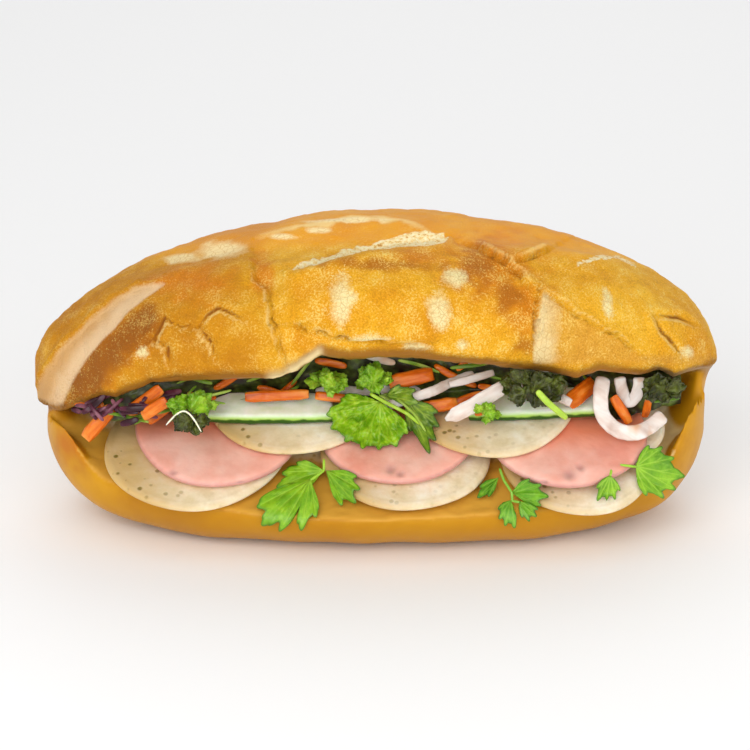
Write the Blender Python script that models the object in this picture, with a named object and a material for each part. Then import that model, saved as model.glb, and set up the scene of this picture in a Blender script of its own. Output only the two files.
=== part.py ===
# Banh mi sandwich: one crusty roll, slit along its front and hinged along its back, filled with
# slices of pale pork roll and pink ham, cucumber, carrot, daikon and fresh herbs.
# +X runs along the roll, +Y from the open mouth to the hinge, +Z up, and the origin is under the
# middle of the whole, on the surface that it rests on. Sizes are in millimetres; solid() turns them
# into metres.
import math

import bmesh
import bpy
from mathutils import Vector, noise
from mathutils.bvhtree import BVHTree

MM = 0.001

# roll: the lower half, a wedge that is thin at its front rim
BASE_HALF_LENGTH = 106.3
BASE_FRONT = 46.0            # from the middle line to the front rim
BASE_BACK = 44.0
BASE_FLAT_FRONT = 22.0       # edges of the flat underside
BASE_FLAT_BACK = 24.0
BASE_RIM = 16.0              # height of the front rim
RIM_SLOPE = 0.26             # how fast the rim climbs as the plan draws it in
BASE_TIP_RISE = 36.0         # how far the underside has risen at the tips
FLAT_SPOT = 0.4              # what is taken off the rise, so that the middle lies flat
BACK_WIDEST = 34.0           # height of the widest line along the back

# roll: the lid
LID_HALF_LENGTH = 109.0
LID_REACH = 42.0             # front and back, from the lid's own middle
LID_SHIFT = 2.0              # how far the lid leans back
LID_TOP = 94.8
LID_TIP = 50.0
LIP_DROP = 5.0               # from the lid's widest line down to its cut edge
LIP_TUCK = 2.0               # and how far the cut edge lies under it
EDGE_ENDS = 50.0             # height of the cut edge at the tips
EDGE_ARCH = 12.0             # its arch along the roll
EDGE_LIFT = 6.0              # the raised stretch over the herbs
EDGE_SAG = 13.0              # the left end hangs down on the lower half

# slit between the two halves
HINGE_REACH = 38.0
HINGE_OPEN = 11.0            # height of the slit at its bottom
TIP_DEPTH = 2.5              # depth of the slit at the tips
GAPE_LEFT = 0.8
GAPE_RIGHT = 4.0
WALL = 4.0                   # crust standing round the bed at the ends

# curves of the roll
ROUND = 0.87                 # 2 / exponent of the superellipses: a little squarer than an ellipse
SECTION_STATIONS = 37
UNDER_STEPS = 8
BACK_STEPS = 6
LID_STEPS = 18
BED_STEPS = 3
UNDER_POINTS = UNDER_STEPS + 3 + BACK_STEPS
LIP_POINT = -9               # place of the lid's cut edge in a section's loop
HINGE_POINT = -5

# bed of the filling: a plane that climbs from the front rim to the hinge
BED_TILT = math.radians(21.0)
BED_CLEARANCE = 1.2
WAVE = 0.35
DROOP = 0.1
SLICE_THICK = 3.0
GAP = 0.4
LAYER = SLICE_THICK + GAP
PLANK_THICK = 4.0
SLICES_END = 76.0            # how far up the slope the slices reach
HEAP_LEFT = -89.0
HEAP_RIGHT = 90.0

# strips and herbs are laid on from the front, along a line that falls by this angle
LAY_FALL = math.radians(21.0)
LAY_DIRECTION = Vector((0.0, math.cos(LAY_FALL), -math.sin(LAY_FALL)))
LAY_UP = Vector((0.0, math.sin(LAY_FALL), math.cos(LAY_FALL)))
LAY_FROM = 200.0
FARTHEST = 60.0
REST_GAP = 0.45              # between a laid piece and what it rests on
FLAT_REACH = 4.5             # a leaf lies flat this far round each place where it touches
LIMP_SLACK = 0.9             # how steeply a limp piece can follow what is behind it
LEAF_THICK = 0.6

BREAD = "D8962A"
PORK = "E6D2AC"
HAM = "E8A692"
CUCUMBER = "CFDDB8"
CARROT = "E07020"
DAIKON = "E6DFD8"

# bulging plates of crust: place along the roll, angle up the lid, spread each way, height
CRUST_BULGES = (
    (-0.02, 34.0, 0.20, 22.0, 3.0),
    (-0.47, 30.0, 0.14, 22.0, 2.0),
    (-0.76, 30.0, 0.11, 24.0, 1.5),
    (0.38, 42.0, 0.12, 20.0, 1.6),
    (0.70, 36.0, 0.17, 26.0, 1.6),
    (0.05, 108.0, 0.45, 20.0, 1.5),
)
# creases between the plates: place at the cut edge, place at the score, depth
CRUST_CREASES = (
    (-0.27, -0.36, 1.6),
    (-0.66, -0.60, 0.9),
    (0.30, 0.22, 0.9),
    (0.55, 0.47, 1.2),
)
CREASE_WIDTH = 0.035


def clear_scene():
    for item in list(bpy.data.objects):
        bpy.data.objects.remove(item, do_unlink=True)


def ramp(low, high, value):
    share = min(1.0, max(0.0, (value - low) / (high - low)))
    return share * share * (3.0 - 2.0 * share)


def mix(a, b, share):
    return a + (b - a) * share


def linear(channel):
    return channel / 12.92 if channel <= 0.04045 else ((channel + 0.055) / 1.055) ** 2.4


def finish(name, hex_colour, roughness):
    # a food surface of one colour, told apart by how wet or dry it looks
    material = bpy.data.materials.new(name)
    material.use_nodes = True
    shader = material.node_tree.nodes["Principled BSDF"]
    channels = [linear(int(hex_colour[i:i + 2], 16) / 255.0) for i in (0, 2, 4)]
    shader.inputs["Base Color"].default_value = (*channels, 1.0)
    shader.inputs["Roughness"].default_value = roughness
    shader.inputs["Metallic"].default_value = 0.0
    return material


def solid(name, points, faces, colour, roughness, sharp_angle):
    mesh = bpy.data.meshes.new(name)
    mesh.from_pydata([Vector(point) * MM for point in points], [], faces)
    shape = bmesh.new()
    shape.from_mesh(mesh)
    bmesh.ops.triangulate(shape, faces=shape.faces[:])
    bmesh.ops.recalc_face_normals(shape, faces=shape.faces[:])
    shape.to_mesh(mesh)
    shape.free()
    mesh.shade_smooth()
    mesh.set_sharp_from_angle(angle=math.radians(sharp_angle))
    mesh.materials.append(finish(name + "_finish", colour, roughness))
    item = bpy.data.objects.new(name, mesh)
    bpy.context.scene.collection.objects.link(item)


def loft(rings):
    # faces between rings of point numbers, with both ends closed
    faces = [tuple(reversed(rings[0])), tuple(rings[-1])]
    for low, high in zip(rings, rings[1:]):
        for i in range(len(low)):
            j = (i + 1) % len(low)
            faces.append((low[i], low[j], high[j], high[i]))
    return faces


# ---- what new pieces are laid on ----

class Pile:
    def __init__(self):
        self.points = []
        self.faces = []
        self.tree = None

    def add(self, points, faces):
        for face in faces:
            start = len(self.points)
            self.points += [Vector(points[k]) for k in face]
            self.faces.append(tuple(range(start, len(self.points))))
        self.tree = None

    def depth(self, u, v):
        # distance along LAY_DIRECTION to the first surface behind the place (u, v)
        if self.tree is None:
            self.tree = BVHTree.FromPolygons(self.points, self.faces)
        start = Vector((u, 0.0, 0.0)) + LAY_UP * v - LAY_DIRECTION * LAY_FROM
        hit = self.tree.ray_cast(start, LAY_DIRECTION)
        return FARTHEST if hit[3] is None else hit[3] - LAY_FROM

    def nearest(self, u, v, reach):
        spots = [(u, v)]
        for turn in range(6):
            angle = math.radians(60.0 * turn)
            spots.append((u + reach * math.cos(angle), v + reach * math.sin(angle)))
        return min(self.depth(*spot) for spot in spots)


PILE = Pile()


def laid_point(u, v, depth):
    return Vector((u, 0.0, 0.0)) + LAY_UP * v + LAY_DIRECTION * depth


# ---- roll ----

def plan(s):
    # how much of its full width the roll has at s, which runs from -1 to 1 between the tips
    return max(0.0, 1.0 - s * s) ** 0.52


def underside(s):
    fullness = max(0.0, 1.0 - abs(s) ** 4.5) ** 0.37
    return max(0.0, BASE_TIP_RISE * (1.0 - fullness) - FLAT_SPOT)


def lid_top(s):
    power, root = (1.9, 0.55) if s < 0.0 else (2.25, 0.46)
    return LID_TIP + (LID_TOP - LID_TIP) * max(0.0, 1.0 - abs(s) ** power) ** root


def lid_edge(s):
    lifted = ramp(-0.28, -0.16, s) * (1.0 - ramp(0.1, 0.5, s))
    sagging = ramp(0.62, 1.0, -s)
    return EDGE_ENDS + EDGE_ARCH * (1.0 - s * s) + EDGE_LIFT * lifted - EDGE_SAG * sagging


def base_rim(s):
    # along the bed, then swept up to the lid at the tips: almost shut on the left, ajar on the right
    along_bed = BASE_RIM + BASE_FRONT * (1.0 - plan(s)) * RIM_SLOPE
    if s < 0.0:
        return mix(along_bed, lid_edge(s) - GAPE_LEFT, ramp(0.82, 0.95, -s))
    return mix(along_bed, lid_edge(s) - GAPE_RIGHT, ramp(0.84, 0.96, s))


def bed_height(y):
    return BASE_RIM + (y + BASE_FRONT) * math.tan(BED_TILT) - BED_CLEARANCE / math.cos(BED_TILT)


def crust_relief(s, angle):
    # the lid's plates, the creases between them, and the baker's score with its raised ear
    height = 0.0
    for place, rise, spread_s, spread_a, size in CRUST_BULGES:
        height += size * math.exp(-((s - place) / spread_s) ** 2 - ((angle - rise) / spread_a) ** 2)
    for low, high, depth in CRUST_CREASES:
        centre = mix(low, high, min(1.0, max(0.0, angle / 60.0)))
        height -= depth * math.exp(-((s - centre) / CREASE_WIDTH) ** 2) * (1.0 - ramp(50.0, 75.0, angle))
    off_score = angle - (62.0 + 40.0 * abs(s + 0.1) ** 1.2)
    ear = 2.2 * math.exp(-((off_score + 7.0) / 8.0) ** 2)
    groove = 2.4 * math.exp(-((off_score - 5.0) / 7.0) ** 2)
    return height + (1.0 - ramp(0.6, 0.85, abs(s))) * (ear - groove)


def under_curve(s, p, rim, low, widest):
    # from the front rim round the underside to the widest line along the back
    curve = []
    front_run = (BASE_FRONT - BASE_FLAT_FRONT) * p + 0.4
    squareness = mix(1.0, 0.77, ramp(0.5, 0.9, abs(s)))
    for step in range(UNDER_STEPS):
        turn = math.radians(90.0 * step / UNDER_STEPS)
        y = -BASE_FLAT_FRONT * p - front_run * math.cos(turn) ** squareness
        curve.append((y, rim - (rim - low) * math.sin(turn) ** squareness))
    for share in (0.0, 0.5, 1.0):
        curve.append((mix(-BASE_FLAT_FRONT, BASE_FLAT_BACK, share) * p, low))
    back_run = (BASE_BACK - BASE_FLAT_BACK) * p + 0.4
    for step in range(1, BACK_STEPS + 1):
        turn = math.radians(90.0 * step / BACK_STEPS)
        y = BASE_FLAT_BACK * p + back_run * math.sin(turn) ** ROUND
        curve.append((y, widest - (widest - low) * math.cos(turn) ** ROUND))
    return curve


def lid_curve(s, p, middle, top):
    # from the widest line along the back over the top to the widest line along the front
    curve = []
    for step in range(LID_STEPS + 1):
        angle = 180.0 * (1.0 - step / LID_STEPS)
        turn = math.radians(angle)
        relief = crust_relief(s, angle) * min(1.0, 1.6 * p)
        across = math.copysign(abs(math.cos(turn)) ** ROUND, math.cos(turn))
        y = LID_SHIFT * p - across * (LID_REACH * p + 0.8 + relief)
        curve.append((y, middle + abs(math.sin(turn)) ** ROUND * (top - middle + relief)))
    return curve


def slit_curve(s, p, rim, edge):
    # from the lid's cut edge in to the hinge and out again along the bed
    lip = (LID_SHIFT - LID_REACH + LIP_TUCK) * p
    closing = ramp(0.86, 0.97, abs(s))
    hinge_y = mix(HINGE_REACH * p, lip + TIP_DEPTH, closing)
    bed_y = 1.0 - BASE_FRONT * p + WALL * ramp(0.8, 0.88, abs(s))
    bed_z = min(rim - 0.3, bed_height(bed_y))
    hinge_low = mix(bed_height(hinge_y), rim - 0.1, closing)
    hinge_top = mix(hinge_low + HINGE_OPEN * min(1.0, 1.3 * p), edge - 0.2, closing)
    hinge_top = max(hinge_low + 0.4, min(hinge_top, edge + 3.0))
    curve = [(lip, edge)]
    for share in (0.25, 0.5, 0.75, 1.0):
        curve.append((mix(lip + 0.5, hinge_y, share), mix(edge + 0.4, hinge_top, share)))
    for step in range(BED_STEPS + 1):
        share = 1.0 - step / BED_STEPS
        curve.append((mix(bed_y, hinge_y, share), mix(bed_z, hinge_low, share)))
    return curve


def roll_section(s):
    # one closed loop of (half length, y, z): the lower half is a little shorter than the lid
    p = plan(s)
    low = underside(s)
    rim = base_rim(s)
    edge = lid_edge(s)
    widest = mix(BACK_WIDEST, rim, abs(s) ** 3)
    middle = edge + LIP_DROP * p
    top = max(lid_top(s), middle + 3.0)
    slit = slit_curve(s, p, rim, edge)
    lid_side = slit[:-BED_STEPS - 1]
    bed_side = slit[-BED_STEPS - 1:]
    loop = [(BASE_HALF_LENGTH, y, z) for y, z in under_curve(s, p, rim, low, widest)]
    fold = (BASE_BACK - 2.0) * p + 0.2
    loop.append(((LID_HALF_LENGTH + BASE_HALF_LENGTH) / 2.0, fold, mix(widest, middle, 0.5)))
    loop += [(LID_HALF_LENGTH, y, z) for y, z in lid_curve(s, p, middle, top) + lid_side]
    return loop + [(BASE_HALF_LENGTH, y, z) for y, z in bed_side]


def lid_underside(x, y):
    loop = roll_section(x / LID_HALF_LENGTH)
    lip, hinge = loop[LIP_POINT], loop[HINGE_POINT]
    return mix(lip[2], hinge[2], (y - lip[1]) / (hinge[1] - lip[1]))


def bread_roll():
    rings = []
    points = []
    for index in range(SECTION_STATIONS):
        t = 2.0 * index / (SECTION_STATIONS - 1) - 1.0
        s = 0.996 * mix(t, math.sin(math.pi / 2.0 * t), 0.45)
        loop = roll_section(s)
        rings.append(range(len(points), len(points) + len(loop)))
        points += [(s * half_length, y, z) for half_length, y, z in loop]
    faces = loft(rings)
    count = len(rings[0])
    lower = []
    for face in faces[2:]:
        place = face[0] % count
        if place < UNDER_POINTS or place > count - BED_STEPS - 2:
            lower.append(face)
    PILE.add(points, lower)
    solid("bread_roll", points, faces, BREAD, 0.55, 50.0)


# ---- slices, planks and shreds that lie on the bed ----

def bed_point(u, t, n):
    # u along the roll, t up the slope from the front rim, n away from the bed; the whole pile
    # shares one gentle wave, and droops where it reaches past the rim
    past = BASE_FRONT * (1.0 - plan(u / BASE_HALF_LENGTH)) / math.cos(BED_TILT) + 2.0 - t
    droop = DROOP * past * past / (past + 6.0) if past > 0.0 else 0.0
    lift = n + WAVE * math.sin(u / 17.0 + 0.6) * math.cos(t / 23.0) - droop
    y = -BASE_FRONT + t * math.cos(BED_TILT) - lift * math.sin(BED_TILT)
    z = BASE_RIM + t * math.sin(BED_TILT) + lift * math.cos(BED_TILT)
    return Vector((u, y, z))


def over_end_slice(u):
    # what lies over the extra slice at the right end is raised by its thickness
    return LAYER * min(1.0, max(0.0, (u - 8.0) / 52.0))


def round_slice(name, centre, front, radius, layer, raised, colour, roughness, seed):
    # front: how far up the slope the slice's nearest edge lies
    corners = 26
    level = GAP + layer * LAYER
    profile = ((0.6, 0.0), (0.97, 0.0), (1.0, 0.5), (0.95, 1.0), (0.6, 1.0))
    hubs = ((0.0, 0.0), (0.0, 1.0))
    points = []
    rings = []
    for share, height in profile + hubs:
        ring = []
        for corner in range(corners if share else 1):
            angle = 2.0 * math.pi * corner / corners
            uneven = 1.0 + 0.018 * math.sin(2.0 * angle + seed) + 0.012 * math.sin(5.0 * angle + 2.3 * seed)
            u = centre + radius * uneven * share * math.cos(angle)
            t = front + radius + radius * uneven * share * math.sin(angle)
            lift = level + (over_end_slice(u) if raised else 0.0)
            ring.append(len(points))
            points.append(bed_point(u, t, lift + SLICE_THICK * height))
        rings.append(ring)
    faces = loft(rings[:-2])[2:]
    for i in range(corners):
        j = (i + 1) % corners
        faces.append((rings[0][j], rings[0][i], rings[-2][0]))
        faces.append((rings[-3][i], rings[-3][j], rings[-1][0]))
    PILE.add(points, faces)
    solid(name, points, faces, colour, roughness, 60.0)


def sliced_meats():
    # name, place along the roll, front edge up the slope, radius, layer, lies over the end slice
    slices = (
        ("pork_roll_front_left", -57.0, 1.0, 29.0, 0, False, PORK, 0.5),
        ("pork_roll_front_middle", 9.5, 0.5, 27.0, 0, False, PORK, 0.5),
        ("pork_roll_front_right", 63.0, 0.0, 24.5, 0, False, PORK, 0.5),
        ("pork_roll_end_right", 74.0, 19.0, 18.0, 1, False, PORK, 0.5),
        ("ham_left", -49.5, 8.6, 27.5, 1, False, HAM, 0.35),
        ("ham_middle", 8.0, 9.0, 27.0, 1, True, HAM, 0.35),
        ("ham_right", 60.5, 4.8, 25.0, 1, True, HAM, 0.35),
        ("pork_roll_upper_left", -27.0, 18.6, 27.5, 2, True, PORK, 0.5),
        ("pork_roll_upper_right", 37.0, 15.4, 26.0, 2, True, PORK, 0.5),
    )
    for seed, (name, centre, front, radius, layer, raised, colour, roughness) in enumerate(slices):
        round_slice(name, centre, front, radius, layer, raised, colour, roughness, seed + 1.0)


def cucumber_plank(name, low, high, front, width):
    # a long slice with its skin along the front; the left end is cut on the slant, the right one rounded
    stations = 9
    level = GAP + 3.0 * LAYER
    points = []
    rings = []
    for index in range(stations):
        share = index / (stations - 1)
        u = mix(low, high, share)
        near = front - 0.8 * math.sin(math.pi * share)
        far = front + width * (1.0 - 0.45 * ramp(0.86, 1.0, share) - 0.25 * ramp(0.1, 0.0, share))
        lift = level + over_end_slice(u)
        section = ((near + 0.8, 0.0), (near, 0.35), (near + 0.3, 0.9), (near + 1.4, 1.0),
                   (far - 0.6, 1.0), (far, 0.8), (far, 0.1))
        rings.append(range(len(points), len(points) + len(section)))
        for t, height in section:
            slant = 2.4 * (t - front) / width * (1.0 - share)
            points.append(bed_point(u + slant, t, lift + PLANK_THICK * height))
    faces = loft(rings)
    PILE.add(points, faces)
    solid(name, points, faces, CUCUMBER, 0.25, 40.0)


def heap_front(u):
    # the heap stands behind the cucumber, and further forward at both ends
    return 44.0 - 12.0 * ramp(-52.0, -62.0, u) - 9.0 * ramp(69.0, 80.0, u)


def heap_foot(u):
    upper_slices = LAYER * ramp(-64.0, -54.0, u)
    return 2.0 * LAYER + 0.6 + upper_slices + over_end_slice(u) * (1.0 - ramp(62.0, 70.0, u))


def heap_ceiling(u, t):
    # how far from the bed the lid's cut face is, less a little room
    lift = 20.0
    for _ in range(6):
        spot = bed_point(u, t, lift)
        lift += (lid_underside(u, spot.y) - 1.6 - spot.z) / math.cos(BED_TILT)
    return lift


def salad_heap():
    # shredded carrot, daikon and greens, as one solid out to its lumpy front; behind the slices it
    # goes down to the bed
    stations = 25
    low = GAP + 0.4
    points = []
    rings = []
    for index in range(stations):
        u = mix(HEAP_LEFT, HEAP_RIGHT, index / (stations - 1))
        near = heap_front(u)
        far = (HINGE_REACH * plan(u / BASE_HALF_LENGTH) - 3.0 + BASE_FRONT) / math.cos(BED_TILT)
        far = max(near + 7.0, far)
        foot = heap_foot(u)
        while heap_ceiling(u, far) < foot + 2.5 and far > near + 7.0:
            far -= 1.0
        step = SLICES_END if far > SLICES_END + 4.0 else far - 2.0
        back_foot = low if far > SLICES_END + 4.0 else foot
        front = ((near + 1.0, 0.0), (near - 0.5, 0.25), (near + 1.0, 0.55), (near + 3.0, 0.85),
                 (near + 6.0, 1.0), (mix(near, far, 0.6), 1.0), (far, 1.0))
        under = ((far, back_foot), (step + 1.0, back_foot), (step, foot), (mix(near, step, 0.5), foot))
        rings.append(range(len(points), len(points) + len(front) + len(under)))
        for t, height in front:
            top = max(foot + 1.5, heap_ceiling(u, t))
            if t <= near + 3.0 and height > 0.0:
                t += 3.2 * noise.noise(Vector((u * 0.16, t * 0.16, height * 2.0)))
            points.append(bed_point(u, t, mix(foot, top, height)))
        points += [bed_point(u, t, lift) for t, lift in under]
    faces = loft(rings)
    PILE.add(points, faces)
    solid("salad_heap", points, faces, "6B5A2E", 0.6, 30.0)


# ---- batons and strips, laid on from the front ----

def curve_through(a, b, c, d, t):
    # Catmull-Rom: from b to c as t goes from 0 to 1
    bend = 2.0 * a - 5.0 * b + 4.0 * c - d
    turn = 3.0 * b - a - 3.0 * c + d
    return b + 0.5 * t * (c - a + t * (bend + t * turn))


def smooth_path(path, stations):
    result = []
    spans = len(path) - 1
    for index in range(stations):
        place = spans * index / (stations - 1)
        span = min(spans - 1, int(place))
        near = [path[min(spans, max(0, span + k))] for k in (-1, 0, 1, 2)]
        result.append(tuple(curve_through(*values, place - span) for values in zip(*near)))
    return result


def straight_depths(depths):
    # a stiff baton rests on two places: the deepest straight line in front of every depth
    best = None
    count = len(depths)
    for i in range(count):
        for j in range(i + 1, count):
            slope = (depths[j] - depths[i]) / (j - i)
            line = [depths[i] + slope * (k - i) for k in range(count)]
            over = max(0.0, max(a - b for a, b in zip(line, depths)))
            if best is None or sum(line) - over * count > sum(best):
                best = [value - over for value in line]
    return best


def strip(name, path, width, thick, colour, roughness, limp=False, ends=(0.8, 0.8), stations=6):
    # path: the places (u, v) that the middle line passes through; ends: how far each end narrows
    line = smooth_path(path, stations)
    across = []
    depths = []
    for index, (u, v) in enumerate(line):
        before = line[max(0, index - 1)]
        after = line[min(stations - 1, index + 1)]
        run = Vector((after[0] - before[0], after[1] - before[1])).normalized()
        edge = width / 2.0 + 0.3
        across.append((-run.y, run.x))
        sides = [(u - side * run.y, v + side * run.x) for side in (-edge, 0.0, edge)]
        depths.append(min(PILE.nearest(*spot, 1.5) for spot in sides))
    if limp:
        depths = [min(d + LIMP_SLACK * math.dist(a, b) for b, d in zip(line, depths)) for a in line]
    else:
        depths = straight_depths(depths)
    points = []
    rings = []
    section = ((-0.5, 0.0), (0.5, 0.0), (0.5, 0.75), (0.36, 1.0), (-0.36, 1.0), (-0.5, 0.75))
    for index, ((u, v), (across_u, across_v), depth) in enumerate(zip(line, across, depths)):
        share = index / (stations - 1)
        size = mix(ends[0], 1.0, ramp(0.0, 0.22, share)) * mix(ends[1], 1.0, ramp(0.0, 0.22, 1.0 - share))
        rings.append(range(len(points), len(points) + len(section)))
        for side, height in section:
            offset = side * width * size
            spot = depth - REST_GAP - thick * size * height
            points.append(laid_point(u + offset * across_u, v + offset * across_v, spot))
    faces = loft(rings)
    PILE.add(points, faces)
    solid(name, points, faces, colour, roughness, 50.0)


def carrot_batons():
    # name, one end, other end, width
    batons = (
        ("carrot_mid_back", (4.0, 40.0), (18.0, 43.0), 5.0),
        ("carrot_left_back", (-41.0, 35.6), (-21.0, 36.6), 3.6),
        ("carrot_left_small", (-19.0, 36.2), (-9.5, 35.2), 3.0),
        ("carrot_left_slant", (-66.5, 38.5), (-77.5, 30.4), 4.2),
        ("carrot_left_low", (-64.5, 34.6), (-72.5, 29.8), 4.0),
        ("carrot_right_slant", (59.6, 33.6), (68.5, 40.4), 5.4),
        ("carrot_middle_low", (13.5, 31.9), (25.5, 33.9), 4.2),
        ("carrot_right_small", (30.5, 30.8), (36.0, 32.4), 3.0),
        ("carrot_rim_left", (-82.6, 32.3), (-91.2, 22.6), 4.6),
    )
    for name, start, end, width in batons:
        strip(name, (start, end), width, 3.2, CARROT, 0.4)


def daikon_strips():
    strand = ((1.5, 32.8), (9.0, 35.2), (16.8, 37.6), (25.2, 41.6), (31.0, 43.4))
    strip("daikon_strand", strand, 3.2, 1.8, "CDB8AC", 0.4, limp=True, stations=9)
    strip("daikon_top_strip", ((23.0, 39.6), (30.0, 41.4), (37.0, 43.4)), 2.6, 1.8, "C4B6A4", 0.4, stations=5)
    strip("daikon_bit", ((53.6, 37.6), (60.4, 33.8)), 3.0, 2.0, DAIKON, 0.4, limp=True, stations=4)
    strip("daikon_blade", ((21.5, 28.6), (31.0, 33.6), (41.5, 40.2)), 4.8, 2.2, "E4E8E4", 0.3, ends=(0.25, 0.7))


def daikon_loops():
    # a wide strip curled into a loop that hangs over the front, with a smaller curl and two batons in it
    curl = ((76.0, 42.0), (77.6, 36.5), (79.6, 34.0), (82.2, 37.0), (82.6, 42.0))
    strip("daikon_curl", curl, 3.4, 2.2, DAIKON, 0.35, limp=True, ends=(0.9, 0.9), stations=10)
    strip("carrot_in_loop", ((73.9, 36.0), (79.4, 27.4)), 3.4, 2.4, CARROT, 0.4, stations=4)
    strip("carrot_far_right", ((85.0, 35.5), (84.4, 29.2)), 2.6, 2.2, CARROT, 0.4, stations=4)
    loop = ((71.6, 41.6), (69.0, 35.0), (70.4, 27.6), (76.0, 23.6), (83.4, 24.4), (91.0, 30.4))
    strip("daikon_loop", loop, 5.0, 2.8, DAIKON, 0.35, limp=True, ends=(0.9, 0.6), stations=16)


# ---- leaves ----

def lip_line(u):
    # the height of the lid's cut edge as seen along the laying line, less a little room
    lip = roll_section(u / LID_HALF_LENGTH)[LIP_POINT]
    return lip[1] * math.sin(LAY_FALL) + lip[2] * math.cos(LAY_FALL) - 1.0


def settle(spots, felt, slack):
    # how deep each spot of a leaf can sink behind the places that the leaf feels
    found = [(u, v, PILE.nearest(u, v, 1.3)) for u, v in felt]
    depths = []
    for u, v in spots:
        held = min(d + slack * max(0.0, math.hypot(u - a, v - b) - FLAT_REACH) for a, b, d in found)
        depths.append(held - REST_GAP)
    return depths


def leaf_radius(angle, lobes, core, teeth, bite):
    reach = core
    for direction, length, spread in lobes:
        off = abs((angle - direction + 180.0) % 360.0 - 180.0)
        if off < spread:
            reach = max(reach, length * math.cos(math.radians(90.0 * off / spread)) ** 0.55)
    return reach * (1.0 - bite * (0.5 + 0.5 * math.cos(math.radians(angle) * teeth)))


def leaf(name, hub, lobes, colour, corners, core=2.0, teeth=12, bite=0.12, ruffle=0.6, slack=LIMP_SLACK,
         inner_ring=False):
    # one limp leaf or sprig spread out from its hub; a lobe is a direction, a length and a half spread
    rim = []
    for corner in range(corners):
        angle = 360.0 * corner / corners
        reach = leaf_radius(angle, lobes, core, teeth, bite)
        u = hub[0] + reach * math.cos(math.radians(angle))
        rim.append((u, min(lip_line(u), hub[1] + reach * math.sin(math.radians(angle)))))

    def shrunk(share):
        return [(mix(hub[0], u, share), mix(hub[1], v, share)) for u, v in rim]

    layout = rim + (shrunk(0.55) if inner_ring else []) + [hub]
    felt = rim + shrunk(0.75) + shrunk(0.5) + shrunk(0.25) + [hub]
    depths = [depth - ruffle * (0.5 + 0.5 * math.sin(index * 2.1))
              for index, depth in enumerate(settle(layout, felt, slack))]
    points = [laid_point(u, v, depth) for (u, v), depth in zip(layout, depths)]
    points += [laid_point(u, v, depth - LEAF_THICK) for (u, v), depth in zip(layout, depths)]
    top = len(layout)
    hub_point = top - 1
    last = corners if inner_ring else 0
    faces = []
    for i in range(corners):
        j = (i + 1) % corners
        faces.append((i, j, top + j, top + i))
        faces.append((last + i, hub_point, last + j))
        faces.append((top + last + i, top + last + j, top + hub_point))
        if inner_ring:
            faces.append((i, corners + i, corners + j, j))
            faces.append((top + i, top + j, top + corners + j, top + corners + i))
    PILE.add(points, faces)
    solid(name, points, faces, colour, 0.45, 80.0)


def greens_in_the_mouth():
    # name, hub, three lobes, colour, corners
    small = (
        ("herb_tuft_left", (-15.5, 40.6), (60, 5.0, 80), (180, 7.0, 80), (-30, 7.0, 70), "7FA832", 20),
        ("herb_tuft_right", (-1.5, 41.0), (60, 6.0, 80), (170, 6.0, 80), (-40, 6.5, 70), "7FB030", 20),
        ("dark_leaf_middle", (47.0, 39.0), (20, 9.0, 60), (160, 9.0, 60), (-70, 8.0, 70), "3F4A1C", 20),
        ("dark_leaf_right", (89.5, 37.6), (35, 6.0, 70), (150, 5.0, 60), (-60, 6.0, 70), "3E4A22", 18),
        ("lettuce_left", (-57.5, 33.6), (20, 8.0, 70), (160, 8.5, 60), (-50, 7.5, 60), "8DB03C", 22),
        ("dark_leaf_left", (-58.5, 27.6), (10, 6.5, 60), (165, 7.0, 60), (-80, 4.0, 60), "24401E", 18),
    )
    for name, hub, *lobes, colour, corners in small:
        leaf(name, hub, lobes, colour, corners)


def greens_over_the_strips():
    stalk = ((49.0, 37.4), (53.0, 33.6), (58.5, 29.6))
    strip("green_stalk", stalk, 2.2, 1.4, "A8C438", 0.4, limp=True, stations=7)
    bit = ((40.0, 4.6, 70.0), (170.0, 5.0, 60.0), (-60.0, 3.6, 60.0))
    leaf("herb_bit_middle", (38.6, 31.0), bit, "8FC030", 16)
    broad = ((20.0, 11.0, 75.0), (100.0, 8.5, 70.0), (175.0, 13.0, 75.0), (-90.0, 8.5, 80.0))
    leaf("coriander_middle", (-3.0, 27.6), broad, "7CAE28", 40, teeth=13, bite=0.1, ruffle=1.2, inner_ring=True)
    trailing = ((140.0, 7.5, 60.0), (10.0, 6.0, 60.0), (-60.0, 12.5, 50.0))
    leaf("coriander_middle_dark", (12.6, 29.0), trailing, "5E8A24", 28)


def front_sprigs():
    left = ((222.0, 24.5, 46.0), (168.0, 13.5, 24.0), (-28.0, 13.5, 40.0))
    leaf("sprig_left", (-18.0, 10.6), left, "78B028", 48,
         core=1.2, teeth=16, bite=0.1, ruffle=0.3, slack=0.6, inner_ring=True)
    middle = ((20.0, 11.5, 34.0), (258.0, 11.5, 36.0), (305.0, 10.5, 26.0), (172.0, 10.5, 24.0),
              (112.0, 8.0, 9.0))
    leaf("sprig_middle", (41.2, 6.0), middle, "5E9A2C", 54,
         core=0.9, teeth=18, bite=0.1, ruffle=0.2, slack=0.6, inner_ring=True)
    leaf("sprig_small", (71.0, 9.6), ((240.0, 5.6, 60.0), (310.0, 6.0, 60.0), (100.0, 2.6, 40.0)), "74A834", 24,
         core=1.0, teeth=8, bite=0.14, ruffle=0.2, slack=0.6)
    leaf("sprig_right", (81.0, 12.6), ((8.0, 15.5, 36.0), (62.0, 9.0, 34.0), (-48.0, 11.5, 36.0)), "7EB832", 40,
         core=1.2, teeth=14, bite=0.1, ruffle=0.3, slack=0.6, inner_ring=True)


def centre_on_origin():
    # the origin comes under the middle of the whole, by a shift along Y alone
    reach = [vertex.co.y for item in bpy.data.objects for vertex in item.data.vertices]
    middle = (min(reach) + max(reach)) / 2.0
    for item in bpy.data.objects:
        for vertex in item.data.vertices:
            vertex.co.y -= middle


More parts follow.
